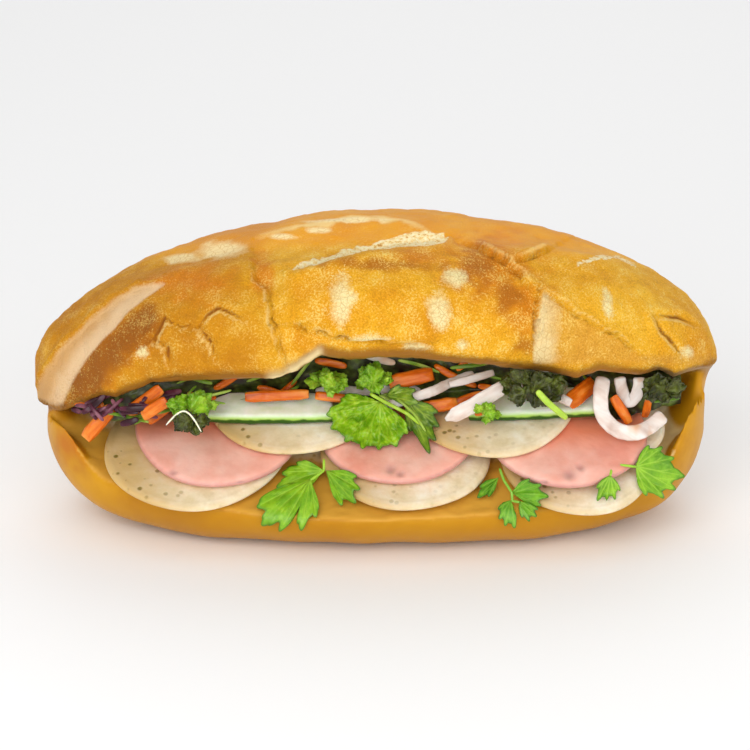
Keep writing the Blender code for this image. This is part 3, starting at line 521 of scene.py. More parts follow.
def makeSlice(node, settings, seed):
    piece = copyOfNode(node, pieceName(node))
    applyModifier(piece, "SUBSURF", {"levels": settings["levels"], "render_levels": settings["levels"]})
    points = pointsOf(piece)
    normals = normalsOf(piece)
    climb = points[:, 1] * math.cos(layFall) + points[:, 2] * math.sin(layFall)
    x = points[:, 0]
    centreX = (x.min() + x.max()) / 2.0
    centreClimb = (climb.min() + climb.max()) / 2.0
    out = np.hypot(x - centreX, climb - centreClimb)
    turn = np.arctan2(climb - centreClimb, x - centreX)
    bins = ((turn + math.pi) / (2.0 * math.pi) * 48).astype(int) % 48
    reach = np.array([out[bins == k].max() for k in range(48)])
    reach = (reach + np.roll(reach, 1) + np.roll(reach, -1)) / 3.0
    rim = out / reach[bins]
    upper = ramp(-0.1, 0.5, normals[:, 2] * math.cos(layFall) - normals[:, 1] * math.sin(layFall))
    lift = settings["waver"] * (0.7 * grain(points, 9.0, 2, seed) + 0.4 * grain(points, 2.5, 2, seed + 9.0))
    dent = np.zeros(len(x))
    if node in settings["ham"]:
        rise = points @ layUp
        for dentX, dentRise, radius in settings["dents"]:
            dent = np.maximum(dent, np.exp(-((x - dentX) ** 2 + 1.6 * (rise - dentRise) ** 2) / radius ** 2))
        dent *= upper
    points += normals * (lift * ramp(1.02, 0.9, rim) - 0.6 * dent)[:, None]
    setPoints(piece, points)
    setMask(piece, "dent", 0.7 * dent)
    setMask(piece, "rim", rim)
    setMask(piece, "upper", upper)
    setMask(piece, "left", ramp(centreX + 6.0, centreX - 22.0, x))
    setMask(piece, "high", ramp(centreClimb - 15.0, centreClimb + 1.0, climb + 2.5 * grain(points, 12.0, 2, seed)))
    return piece


# steamed pork roll: fine pale paste with a thin cooked skin, moist, with small air pores
def porkPaste():
    material, tree, shader, place = startMaterial("porkPaste", {
        "Roughness": 0.42, "IOR": 1.42, "Subsurface Weight": 0.25, "Subsurface Scale": 0.002,
        "Subsurface Radius": (1.0, 0.6, 0.35), "Specular IOR Level": 0.4})
    masks = {name: addNode(tree, "ShaderNodeAttribute", {"attribute_name": name}).outputs["Fac"]
             for name in ("rim", "upper", "left", "high")}
    cloud = addNode(tree, "ShaderNodeTexNoise", {"Scale": 140.0, "Detail": 4.0, "Roughness": 0.6}, {"Vector": place})
    base = addNode(tree, "ShaderNodeValToRGB", {"stops": [(0.32, "DCCAA2"), (0.5, "EBDCBC"), (0.68, "F5ECD8")]},
                   {"Fac": cloud.outputs["Fac"]}).outputs["Color"]
    fading = addNode(tree, "ShaderNodeMath", {"operation": "MULTIPLY_ADD", 1: 0.65, 2: 0.3}, {0: masks["left"]})
    skin = addNode(tree, "ShaderNodeMapRange", {"From Min": 0.93, "From Max": 0.985}, {"Value": masks["rim"]})
    skin = addNode(tree, "ShaderNodeMath", {"operation": "MULTIPLY"}, {0: skin.outputs[0], 1: fading.outputs[0]})
    ring = addNode(tree, "ShaderNodeValToRGB", {"stops": [(0.88, "000000"), (0.915, "FFFFFF"), (0.94, "000000")]},
                   {"Fac": masks["rim"]})
    ringed = addNode(tree, "ShaderNodeMath", {"operation": "MULTIPLY", 1: 0.14}, {0: ring.outputs["Color"]})
    browner = addNode(tree, "ShaderNodeMath", {"operation": "MULTIPLY", 1: 0.8}, {0: masks["left"]})
    # air pores 1 to 2.5 mm wide, mostly towards one side, painted dark as the shade inside them
    pores = addNode(tree, "ShaderNodeTexVoronoi", {"Scale": 330.0, "Randomness": 1.0}, {"Vector": place})
    chosen = addNode(tree, "ShaderNodeMath", {"operation": "LESS_THAN", 1: 0.55}, {0: pores.outputs["Color"]})
    hole = addNode(tree, "ShaderNodeMapRange", {"From Min": 0.3, "From Max": 0.16}, {"Value": pores.outputs["Distance"]})
    poreMask = addNode(tree, "ShaderNodeMath", {"operation": "MULTIPLY"}, {0: hole.outputs[0], 1: chosen.outputs[0]})
    most = addNode(tree, "ShaderNodeMath", {"operation": "MULTIPLY_ADD", 1: 0.85, 2: 0.12}, {0: masks["left"]})
    poreMask = addNode(tree, "ShaderNodeMath", {"operation": "MULTIPLY"}, {0: poreMask.outputs[0], 1: most.outputs[0]})
    colour = paintOver(tree, base, [(browner.outputs[0], "C09A54"), (ringed.outputs[0], "B08A48"),
                                    (poreMask.outputs[0], "7C6A2A"), (skin.outputs[0], "CFAE70")])
    tree.links.new(colour, shader.inputs["Base Color"])
    height = addNode(tree, "ShaderNodeMath", {"operation": "SUBTRACT"}, {0: cloud.outputs["Fac"], 1: poreMask.outputs[0]})
    bump = addNode(tree, "ShaderNodeBump", {"Strength": 0.5, "Distance": 0.0005}, {"Height": height.outputs[0]})
    tree.links.new(bump.outputs[0], shader.inputs["Normal"])
    return material


# cooked ham: pink, wet and close grained, redder towards the top, partly its own colour and partly painted shade under
# the lid, with a grey-violet edge
def cookedHam():
    material, tree, shader, place = startMaterial("cookedHam", {
        "Roughness": 0.32, "IOR": 1.42, "Subsurface Weight": 0.3, "Subsurface Scale": 0.002,
        "Subsurface Radius": (1.0, 0.35, 0.25), "Specular IOR Level": 0.5})
    masks = {name: addNode(tree, "ShaderNodeAttribute", {"attribute_name": name}).outputs["Fac"]
             for name in ("rim", "high", "dent")}
    cloud = addNode(tree, "ShaderNodeTexNoise", {"Scale": 75.0, "Detail": 4.0, "Roughness": 0.55}, {"Vector": place})
    base = addNode(tree, "ShaderNodeValToRGB", {"stops": [(0.32, "E69C88"), (0.5, "EFB8A8"), (0.68, "F8D8CC")]},
                   {"Fac": cloud.outputs["Fac"]}).outputs["Color"]
    skin = addNode(tree, "ShaderNodeMapRange", {"From Min": 0.965, "From Max": 1.0, "To Max": 0.75}, {"Value": masks["rim"]})
    # redder towards the top: partly the ham's own colour, partly painted shade where the lid overhangs
    warmth = addNode(tree, "ShaderNodeMath", {"operation": "MULTIPLY_ADD", 1: 0.9, 2: -0.28},
                     {0: cloud.outputs["Fac"]})
    redder = addNode(tree, "ShaderNodeMath", {"operation": "MULTIPLY_ADD", "use_clamp": True},
                     {0: masks["high"], 1: masks["high"], 2: warmth.outputs[0]})
    # the grey-violet edge, then painted shade in the hollows
    colour = paintOver(tree, base, [(redder.outputs[0], "F2906C"), (skin.outputs[0], "B88078"), (masks["dent"], "B07A76")])
    tree.links.new(colour, shader.inputs["Base Color"])
    fine = addNode(tree, "ShaderNodeTexNoise", {"Scale": 500.0, "Detail": 2.0}, {"Vector": place})
    bump = addNode(tree, "ShaderNodeBump", {"Strength": 0.25, "Distance": 0.0004}, {"Height": fine.outputs["Fac"]})
    tree.links.new(bump.outputs[0], shader.inputs["Normal"])
    return material


porkMaterial = porkPaste()
hamMaterial = cookedHam()
shown = [bread]
for seed, node in enumerate(sliceSettings["pork"] + sliceSettings["ham"]):
    piece = makeSlice(node, sliceSettings, seed * 3.7)
    pork = node in sliceSettings["pork"]
    finishPiece(piece, porkMaterial if pork else hamMaterial, "pork_roll" if pork else "ham", node)
    shown.append(piece)
print("slices:", len(shown) - 1)


# ---- cucumber ----

cucumberSettings = {"bevel": 0.5, "skin": 1.2, "green": 2.3, "nodes": ["cucumber_left", "cucumber_right"]}


def makeCucumber(node, settings):
    piece = copyOfNode(node, pieceName(node))
    applyModifier(piece, "BEVEL", {"width": settings["bevel"] * mm, "segments": 2})
    applyModifier(piece, "SUBSURF", {"levels": 3, "render_levels": 3, "subdivision_type": "SIMPLE"})
    applyModifier(piece, "SMOOTH", {"factor": 0.5, "iterations": 4})
    points = pointsOf(piece)
    normals = normalsOf(piece)
    rise = points @ layUp
    bins = np.clip((points[:, 0] - points[:, 0].min()) / 2.0, 0, 200).astype(int)
    low = np.array([rise[bins == k].min() if (bins == k).any() else 1e9 for k in range(bins.max() + 1)])
    low = np.array([low[max(0, k - 2):k + 3].min() for k in range(len(low))])
    depth = rise - low[bins]
    points += normals * (0.18 * grain(points, 5.0, 2, 3.0))[:, None]
    setPoints(piece, points)
    setMask(piece, "skin", ramp(settings["skin"] + 0.4, settings["skin"] - 0.2, depth + 0.35 * grain(points, 3.0, 2, 8.0)))
    setMask(piece, "green", ramp(settings["green"] + 0.8, settings["skin"], depth))
    return piece


# raw cucumber: wet pale flesh, greener towards a thin dark skin
def cucumberFlesh():
    material, tree, shader, place = startMaterial("cucumberFlesh", {
        "Roughness": 0.2, "IOR": 1.36, "Subsurface Weight": 0.35, "Subsurface Scale": 0.003,
        "Subsurface Radius": (0.6, 1.0, 0.4)})
    masks = {name: addNode(tree, "ShaderNodeAttribute", {"attribute_name": name}).outputs["Fac"]
             for name in ("skin", "green")}
    cloud = addNode(tree, "ShaderNodeTexNoise", {"Scale": 180.0, "Detail": 3.0}, {"Vector": place})
    base = addNode(tree, "ShaderNodeValToRGB", {"stops": [(0.3, "D4E4C0"), (0.5, "E4EEDA"), (0.7, "F2F8EC")]},
                   {"Fac": cloud.outputs["Fac"]}).outputs["Color"]
    colour = paintOver(tree, base, [(masks["green"], "A6CE52"), (masks["skin"], "2E5410")])
    tree.links.new(colour, shader.inputs["Base Color"])
    bump = addNode(tree, "ShaderNodeBump", {"Strength": 0.2, "Distance": 0.0003}, {"Height": cloud.outputs["Fac"]})
    tree.links.new(bump.outputs[0], shader.inputs["Normal"])
    return material


cucumberMaterial = cucumberFlesh()
for node in cucumberSettings["nodes"]:
    piece = makeCucumber(node, cucumberSettings)
    finishPiece(piece, cucumberMaterial, "cucumber", node)
    shown.append(piece)
print("cucumber ready")


# carrot and daikon strips
stripSettings = {
    "bevel": 0.4,
    "knobbly": 0.16,
    # bent ones as path, width, thickness
    "bent": {"daikon_strand": ([(1.5, 32.8), (9.0, 35.2), (16.8, 37.6), (25.2, 41.6), (31.0, 43.4)], 3.2, 1.5),
             "daikon_curl": ([(76.1, 42.6), (77.0, 37.4), (79.5, 33.8), (81.8, 37.4), (82.2, 42.6)], 4.0, 1.8),
             "daikon_loop": ([(70.9, 42.8), (69.4, 36.4), (70.2, 30.0), (74.6, 25.6), (79.4, 24.6), (84.6, 26.0),
                              (90.0, 30.8)], 5.0, 2.3)},
    "carrot": ["carrot_mid_back", "carrot_left_back", "carrot_left_small", "carrot_left_slant", "carrot_left_low",
               "carrot_right_slant", "carrot_middle_low", "carrot_right_small", "carrot_rim_left",
               "carrot_in_loop", "carrot_far_right"],
    "daikon": ["daikon_top_strip", "daikon_bit", "daikon_blade"],
}


def makeStrip(node, settings, seed):
    piece = copyOfNode(node, pieceName(node))
    applyModifier(piece, "BEVEL", {"width": settings["bevel"] * mm, "segments": 2, "limit_method": "ANGLE",
                                   "angle_limit": math.radians(50)})
    applyModifier(piece, "SUBSURF", {"levels": 3, "render_levels": 3})
    applyModifier(piece, "SMOOTH", {"factor": 0.5, "iterations": 3})
    roughenStrip(piece, settings, seed)
    return piece


def roughenStrip(piece, settings, seed):
    points = pointsOf(piece)
    normals = normalsOf(piece)
    lift = settings["knobbly"] * (grain(points, 3.0, 2, seed) + 0.5 * grain(points, 1.2, 1, seed + 5.0))
    points += normals * lift[:, None]
    setPoints(piece, points)
    # how far along its own length each place is, for the fibres
    middle = points.mean(axis=0)
    spread = np.linalg.svd(points - middle, full_matrices=False)[2]
    local = (points - middle) @ spread.T
    setMask(piece, "along", (local[:, 0] - local[:, 0].min()) / 100.0)
    setMask(piece, "across", 0.5 + local[:, 1] / 100.0)
    setMask(piece, "through", 0.5 + local[:, 2] / 100.0)


def fibres(tree, stretch):
    # the piece's own length, width and thickness as one vector in decimetres, drawn out along the fibres
    parts = [addNode(tree, "ShaderNodeAttribute", {"attribute_name": name}).outputs["Fac"]
             for name in ("along", "across", "through")]
    joined = addNode(tree, "ShaderNodeCombineXYZ", {}, dict(enumerate(parts)))
    scaled = addNode(tree, "ShaderNodeVectorMath", {"operation": "MULTIPLY", 1: (stretch, 1.0, 1.0)},
                     {0: joined.outputs[0]})
    return scaled.outputs[0]


# raw pickled carrot: wet orange sticks with paler fibres along them
def pickledCarrot():
    material, tree, shader, place = startMaterial("pickledCarrot", {
        "Roughness": 0.26, "IOR": 1.38, "Subsurface Weight": 0.25, "Subsurface Scale": 0.002,
        "Subsurface Radius": (1.0, 0.4, 0.1)})
    cloud = addNode(tree, "ShaderNodeTexNoise", {"Scale": 60.0, "Detail": 3.0}, {"Vector": fibres(tree, 0.12)})
    base = addNode(tree, "ShaderNodeValToRGB", {"stops": [(0.3, "B44C08"), (0.5, "D8690E"), (0.72, "EC9238")]},
                   {"Fac": cloud.outputs["Fac"]}).outputs["Color"]
    tree.links.new(base, shader.inputs["Base Color"])
    bump = addNode(tree, "ShaderNodeBump", {"Strength": 0.35, "Distance": 0.0003}, {"Height": cloud.outputs["Fac"]})
    tree.links.new(bump.outputs[0], shader.inputs["Normal"])
    return material


# pickled daikon: white, half see-through, taking some orange from the carrot beside it
def pickledDaikon():
    material, tree, shader, place = startMaterial("pickledDaikon", {
        "Roughness": 0.2, "IOR": 1.36, "Subsurface Weight": 0.5, "Subsurface Scale": 0.004,
        "Subsurface Radius": (1.0, 0.8, 0.7)})
    cloud = addNode(tree, "ShaderNodeTexNoise", {"Scale": 30.0, "Detail": 3.0}, {"Vector": fibres(tree, 0.2)})
    base = addNode(tree, "ShaderNodeValToRGB", {"stops": [(0.3, "CBB4A6"), (0.5, "E2D5CB"), (0.7, "F1ECE6")]},
                   {"Fac": cloud.outputs["Fac"]}).outputs["Color"]
    stain = addNode(tree, "ShaderNodeTexNoise", {"Scale": 120.0, "Detail": 2.0}, {"Vector": place})
    stained = addNode(tree, "ShaderNodeMapRange", {"From Min": 0.6, "From Max": 0.74, "To Max": 0.55},
                      {"Value": stain.outputs["Fac"]})
    colour = paintOver(tree, base, [(stained.outputs[0], "E39A55")])
    tree.links.new(colour, shader.inputs["Base Color"])
    bump = addNode(tree, "ShaderNodeBump", {"Strength": 0.2, "Distance": 0.0003}, {"Height": cloud.outputs["Fac"]})
    tree.links.new(bump.outputs[0], shader.inputs["Normal"])
    return material


carrotMaterial = pickledCarrot()
daikonMaterial = pickledDaikon()
for seed, node in enumerate(stripSettings["carrot"] + stripSettings["daikon"]):
    piece = makeStrip(node, stripSettings, seed * 2.3)
    carrot = node in stripSettings["carrot"]
    finishPiece(piece, carrotMaterial if carrot else daikonMaterial, "carrot" if carrot else "daikon", node)
    shown.append(piece)
print("strips ready")


# what is laid over the rest
class Pile:
    # what lies there so far; answers how far in along the laying line its surface is
    def __init__(self, pieces):
        self.trees = []
        points = []
        faces = []
        for piece in pieces:
            start = len(points)
            points += [tuple(p) for p in pointsOf(piece)]
            faces += [tuple(start + k for k in face.vertices) for face in piece.data.polygons]
        self.add(points, faces)

    def add(self, points, faces):
        places = np.array(points)
        u = places[:, 0]
        v = places @ layUp
        self.trees.append((u.min(), u.max(), v.min(), v.max(), BVHTree.FromPolygons([tuple(p) for p in points], faces)))

    def depth(self, u, v, reach=0.0):
        # the nearest of a ring of places and its middle
        best = 60.0
        for k in range(7 if reach else 1):
            angle = math.radians(60.0 * k)
            du, dv = (reach * math.cos(angle), reach * math.sin(angle)) if k < 6 and reach else (0.0, 0.0)
            start = Vector((u + du, 0.0, 0.0)) + Vector(layUp) * (v + dv) - Vector(layDirection) * 200.0
            for lowU, highU, lowV, highV, tree in self.trees:
                if lowU <= u + du <= highU and lowV <= v + dv <= highV:
                    hit = tree.ray_cast(start, Vector(layDirection))
                    if hit[3] is not None:
                        best = min(best, hit[3] - 200.0)
        return best


def laid(u, v, depth):
    return np.array((u, 0.0, 0.0)) + layUp * v + layDirection * depth


def meshPiece(name, points, faces):
    mesh = bpy.data.meshes.new(name)
    mesh.from_pydata([tuple(p * mm) for p in points], [], faces)
    piece = bpy.data.objects.new(name, mesh)
    bpy.context.scene.collection.objects.link(piece)
    selectOnly(piece)
    bpy.ops.object.mode_set(mode="EDIT")
    bpy.ops.mesh.select_all(action="SELECT")
    bpy.ops.mesh.normals_make_consistent(inside=False)
    bpy.ops.object.mode_set(mode="OBJECT")
    return piece


def settleGrid(u, v, depths, slack):
    # rings x spokes of places: each sinks no further than its neighbours let it
    for _ in range(depths.shape[0] + 6):
        for axis in (0, 1):
            near = [slice(None), slice(None)]
            far = [slice(None), slice(None)]
            near[axis] = slice(1, None)
            far[axis] = slice(None, -1)
            near, far = tuple(near), tuple(far)
            gap = np.hypot(u[near] - u[far], v[near] - v[far])
            depths[near] = np.minimum(depths[near], depths[far] + slack * gap)
            depths[far] = np.minimum(depths[far], depths[near] + slack * gap)
    return depths


def wave(u, v, size, seed):
    flat = [noise.noise(Vector((a / size, b / size, seed))) for a, b in zip(u.ravel(), v.ravel())]
    return np.array(flat).reshape(u.shape)


def gridFaces(rows, columns):
    return [(r * columns + c, r * columns + c + 1, (r + 1) * columns + c + 1, (r + 1) * columns + c)
            for r in range(rows - 1) for c in range(columns - 1)]


# ---- salad behind the cucumber ----

saladSettings = {
    "shrink": 1.6,          # the core lies this far inside the heap's outline, mm
    # lower border of the dark leaves behind everything, as (x, rise)
    "leafFoot": [(-96, 33), (-84, 29), (-70, 29), (-62, 33), (-50, 35.5), (-14, 35), (-4, 33), (10, 33), (26, 34), (36, 35.5),
                 (60, 35), (66, 30), (76, 29), (86, 32), (96, 34)],
    "shreds": {
        "carrotShreds": {"count": 16, "length": (9, 20), "width": (2.0, 3.2), "thick": (1.4, 2.2), "from": (-92, 90)},
        "daikonShreds": {"count": 9, "length": (10, 22), "width": (1.8, 3.0), "thick": (0.9, 1.5), "from": (-2, 62)},
        "greenStems": {"count": 26, "length": (8, 22), "width": (0.8, 1.4), "thick": (0.8, 1.2), "from": (-74, 92)},
        "redOnionShreds": {"count": 26, "length": (6, 14), "width": (1.2, 2.2), "thick": (0.8, 1.2), "from": (-97, -66)},
    },
}


def makeCore(settings):
    core = copyOfNode("salad_heap", "saladCore")
    applyModifier(core, "SUBSURF", {"levels": 2, "render_levels": 2})
    points = pointsOf(core)
    normals = normalsOf(core)
    lift = -settings["shrink"] + 1.2 * grain(points, 7.0, 3, 2.0)
    points += normals * lift[:, None]
    setPoints(core, points)
    return core


def makeBackLeaves(settings, pile):
    # rumpled leaves that fill the mouth behind the sticks, coloured dark as painted shade
    columns = np.arange(-96.0, 97.0, 1.1)
    rows = 16
    foot = lineHeight(settings["leafFoot"], columns) + 1.4 * np.array([noise.noise(Vector((a / 4.0, 3.0, 0))) for a in columns])
    top = lineHeight(breadSettings["lip"], columns) + 3.0
    shares = np.linspace(0.0, 1.0, rows)
    v = foot[None, :] + shares[:, None] * (top - foot)[None, :]
    u = np.repeat(columns[None, :], rows, axis=0)
    depths = np.array([[pile.depth(a, b, 0.8) for a, b in zip(rowU, rowV)] for rowU, rowV in zip(u, v)])
    depths = settleGrid(u, v, depths, 0.9)
    depths -= 0.7 + 1.3 * (1.0 + wave(u, v * 1.6, 7.0, 4.0)) + 0.8 * np.abs(wave(u, v, 2.6, 9.0))
    points = [laid(a, b, d) for a, b, d in zip(u.ravel(), v.ravel(), depths.ravel())]
    piece = meshPiece("backLeaves", points, gridFaces(rows, len(columns)))
    folds = np.abs(wave(u, v, 2.6, 9.0)).ravel()
    setMask(piece, "vein", ramp(0.06, 0.0, folds))
    setMask(piece, "edge", np.zeros(len(points)))
    applyModifier(piece, "SOLIDIFY", {"thickness": 0.4 * mm, "offset": 0.0, "use_even_offset": False})
    applyModifier(piece, "SUBSURF", {"levels": 1, "render_levels": 1})
    return piece


def shredShape(path, width, thick, twist):
    # rings of six points along a laid path
    section = ((-0.5, 0.0), (0.5, 0.0), (0.5, 0.8), (0.3, 1.0), (-0.3, 1.0), (-0.5, 0.8))
    points = []
    faces = []
    for index, (u, v, depth) in enumerate(path):
        before = path[max(0, index - 1)]
        after = path[min(len(path) - 1, index + 1)]
        run = np.array((after[0] - before[0], after[1] - before[1]))
        run = run / max(1e-6, np.hypot(*run))
        size = 0.7 if index in (0, len(path) - 1) else 1.0
        for side, height in section:
            off = side * width * size
            lean = twist * side * math.sin(index * 0.8)
            points.append(laid(u - off * run[1], v + off * run[0], depth - 0.1 - thick * size * height - lean))
    for ring in range(len(path) - 1):
        for k in range(6):
            a, b = ring * 6 + k, ring * 6 + (k + 1) % 6
            faces.append((a, b, b + 6, a + 6))
    faces.append(tuple(range(5, -1, -1)))
    faces.append(tuple(range(len(points) - 6, len(points))))
    return points, faces


def makeRibbon(node, settings, seed):
    # a limp strip: a smooth ribbon along its path, as far forward as the plain solid
    path, width, thick = settings["bent"][node]
    guide = copyOfNode(node, pieceName(node) + "Guide")
    front = Pile([guide])
    bpy.data.objects.remove(guide)
    knots = np.array(path)
    reached = np.concatenate(([0.0], np.cumsum(np.hypot(*np.diff(knots, axis=0).T))))
    places = np.linspace(0.0, reached[-1], 36)
    line = np.stack([np.interp(places, reached, knots[:, k]) for k in (0, 1)], 1)
    depths = np.array([front.depth(a, b, 0.8) for a, b in line])
    good = depths < np.median(depths) + 12.0
    depths = np.interp(places, places[good], depths[good])
    for _ in range(12):
        line[1:-1] = 0.25 * line[:-2] + 0.5 * line[1:-1] + 0.25 * line[2:]
        depths[1:-1] = 0.25 * depths[:-2] + 0.5 * depths[1:-1] + 0.25 * depths[2:]
    points, faces = shredShape([(a, b, d + thick) for (a, b), d in zip(line, depths)], width, thick, 0.0)
    piece = meshPiece(pieceName(node), points, faces)
    applyModifier(piece, "SUBSURF", {"levels": 2, "render_levels": 2})
    roughenStrip(piece, settings, seed)
    return piece


def scatterShreds(name, kind, pile):
    allPoints = []
    allFaces = []
    allAlong = []
    for _ in range(kind["count"]):
        u = random.uniform(*kind["from"])
        low = lineHeight(saladSettings["leafFoot"], u)
        v = random.uniform(low - 1.0, lineHeight(breadSettings["lip"], u) - 0.5)
        heading = math.radians(random.choice((0, 180)) + random.gauss(0.0, 28.0))
        length = random.uniform(*kind["length"])
        width = random.uniform(*kind["width"])
        thick = random.uniform(*kind["thick"])
        bend = random.gauss(0.0, 0.05)
        steps = max(5, int(length / 3.0))
        path = []
        for step in range(steps):
            deep = pile.depth(u, v, 0.9)
            if deep > 55.0:
                break
            path.append((u, v, deep))
            u += length / steps * math.cos(heading)
            v += length / steps * math.sin(heading)
            heading += bend + random.gauss(0.0, 0.08)
            if v < lineHeight(saladSettings["leafFoot"], u) - 1.5:
                break
        if len(path) < 4:
            continue
        # a shred spans the hollows behind it
        depths = [min(d + 0.35 * abs(i - j) * length / steps for j, (_, _, d) in enumerate(path))
                  for i in range(len(path))]
        path = [(a, b, d) for (a, b, _), d in zip(path, depths)]
        points, faces = shredShape(path, width, thick, random.uniform(-0.8, 0.8))
        pile.add(points, faces)
        start = len(allPoints)
        allPoints += points
        allFaces += [tuple(start + k for k in face) for face in faces]
        allAlong += [(ring // 6) * length / steps for ring in range(len(points))]
    piece = meshPiece(name, allPoints, allFaces)
    setMask(piece, "along", np.array(allAlong) / 100.0)
    setMask(piece, "across", np.array([p[1] for p in allPoints]) / 100.0 + 0.5)
    setMask(piece, "through", np.array([p[2] for p in allPoints]) / 100.0)
    applyModifier(piece, "SUBSURF", {"levels": 2, "render_levels": 2})
    return piece


# the salad's core, coloured near black as painted shade deep in the mouth, seen only between the shreds
def dampSalad():
    material, tree, shader, place = startMaterial("dampSalad", {"Roughness": 0.5, "IOR": 1.38})
    cloud = addNode(tree, "ShaderNodeTexNoise", {"Scale": 220.0, "Detail": 4.0}, {"Vector": place})
    base = addNode(tree, "ShaderNodeValToRGB", {"stops": [(0.35, "1E120E"), (0.5, "2E2414"), (0.65, "43301C")]},
                   {"Fac": cloud.outputs["Fac"]}).outputs["Color"]
    tree.links.new(base, shader.inputs["Base Color"])
    bump = addNode(tree, "ShaderNodeBump", {"Strength": 0.8, "Distance": 0.001}, {"Height": cloud.outputs["Fac"]})
    tree.links.new(bump.outputs[0], shader.inputs["Normal"])
    return material


# plain juicy stems and shreds that differ in colour alone
def juicyShred(name, stops):
    material, tree, shader, place = startMaterial(name, {
        "Roughness": 0.28, "IOR": 1.37, "Subsurface Weight": 0.2, "Subsurface Scale": 0.001,
        "Subsurface Radius": (0.8, 0.8, 0.4)})
    cloud = addNode(tree, "ShaderNodeTexNoise", {"Scale": 160.0, "Detail": 3.0}, {"Vector": place})
    base = addNode(tree, "ShaderNodeValToRGB", {"stops": stops}, {"Fac": cloud.outputs["Fac"]}).outputs["Color"]
    tree.links.new(base, shader.inputs["Base Color"])
    return material


# fresh herb leaf: thin, lit through, with paler veins and a waxy shine
def herbLeaf(name, stops, veinColour, edgeColour, gloss=0.34):
    material, tree, shader, place = startMaterial(name, {
        "Roughness": gloss, "IOR": 1.42, "Subsurface Weight": 0.25, "Subsurface Scale": 0.001,
        "Subsurface Radius": (0.5, 1.0, 0.2), "Specular IOR Level": 0.5})
    masks = {key: addNode(tree, "ShaderNodeAttribute", {"attribute_name": key}).outputs["Fac"]
             for key in ("vein", "edge")}
    cloud = addNode(tree, "ShaderNodeTexNoise", {"Scale": 190.0, "Detail": 4.0, "Roughness": 0.6}, {"Vector": place})
    base = addNode(tree, "ShaderNodeValToRGB", {"stops": stops}, {"Fac": cloud.outputs["Fac"]}).outputs["Color"]
    veinMask = addNode(tree, "ShaderNodeMath", {"operation": "MULTIPLY", 1: 0.45}, {0: masks["vein"]})
    edgeMask = addNode(tree, "ShaderNodeMath", {"operation": "MULTIPLY", 1: 0.75}, {0: masks["edge"]})
    colour = paintOver(tree, base, [(edgeMask.outputs[0], edgeColour), (veinMask.outputs[0], veinColour)])
    tree.links.new(colour, shader.inputs["Base Color"])
    fine = addNode(tree, "ShaderNodeTexNoise", {"Scale": 700.0, "Detail": 2.0}, {"Vector": place})
    height = addNode(tree, "ShaderNodeMath", {"operation": "SUBTRACT"}, {0: fine.outputs["Fac"], 1: masks["vein"]})
    bump = addNode(tree, "ShaderNodeBump", {"Strength": 0.5, "Distance": 0.0003}, {"Height": height.outputs[0]})
    tree.links.new(bump.outputs[0], shader.inputs["Normal"])
    return material


leafTones = {
    "fresh": herbLeaf("corianderFresh", [(0.3, "5A9012"), (0.5, "78AC18"), (0.7, "98C628")], "B4DC4C", "3E7014"),
    "deep": herbLeaf("corianderDeep", [(0.3, "48841A"), (0.5, "63A01E"), (0.7, "82BA2A")], "9AC84A", "2F5C14"),
    "curly": herbLeaf("parsleyCurly", [(0.3, "5C9012"), (0.5, "8ABA1E"), (0.7, "B6D83C")], "CCE070", "355E10"),
    "crisp": herbLeaf("mintCrisp", [(0.3, "578A0E"), (0.5, "82B016"), (0.7, "AED02C")], "C0DA4C", "3A6A10", 0.24),
    "olive": herbLeaf("corianderOlive", [(0.3, "3E5E14"), (0.5, "5C7E1A"), (0.7, "86A42A")], "B4CC4C", "2A4410"),
    # the dark leaves: partly their own deep green, partly painted shade under the lid
    "dark": herbLeaf("herbDark", [(0.3, "262A0E"), (0.5, "3E4214"), (0.7, "5E6820")], "7C8438", "1A1C0A"),
    "stalk": herbLeaf("herbStalk", [(0.3, "86A822"), (0.5, "A2C430"), (0.7, "C2DA54")], "B4D450", "7EA82C"),
    "back": herbLeaf("lettuceShade", [(0.3, "2A1216"), (0.44, "2C2A14"), (0.58, "465220"), (0.74, "6C822C")],
                     "7C8A3A", "20240E"),
    "sprout": herbLeaf("beanSprout", [(0.3, "D8DCA8"), (0.5, "E8EAC4"), (0.7, "F4F4DC")], "F4F4DC", "D8DCA8"),
}
stemMaterial = juicyShred("corianderStem", [(0.3, "4E741A"), (0.5, "789C2C"), (0.7, "B4C85C")])
onionMaterial = juicyShred("redOnion", [(0.35, "2E0E18"), (0.5, "521C30"), (0.68, "8E5664")])
slices = list(shown[1:1 + len(sliceSettings["pork"] + sliceSettings["ham"])])
for seed, node in enumerate(stripSettings["bent"]):
    piece = makeRibbon(node, stripSettings, 40.0 + seed * 2.3)
    finishPiece(piece, daikonMaterial, "daikon", node)
    shown.append(piece)
core = makeCore(saladSettings)
finishPiece(core, dampSalad(), "salad", "salad_heap")
saladPile = Pile([core] + slices)
backLeaves = makeBackLeaves(saladSettings, saladPile)
finishPiece(backLeaves, leafTones["back"], "salad", "salad_heap")
saladPile.add(pointsOf(backLeaves), [tuple(face.vertices) for face in backLeaves.data.polygons])
shown += [core, backLeaves]
for name, kind in saladSettings["shreds"].items():
    piece = scatterShreds(name, kind, saladPile)
    material = {"carrotShreds": carrotMaterial, "daikonShreds": daikonMaterial, "greenStems": stemMaterial,
                "redOnionShreds": onionMaterial}[name]
    finishPiece(piece, material, {"carrotShreds": "carrot", "daikonShreds": "daikon"}.get(name, "salad"), "salad_heap")
    shown.append(piece)
print("salad ready")


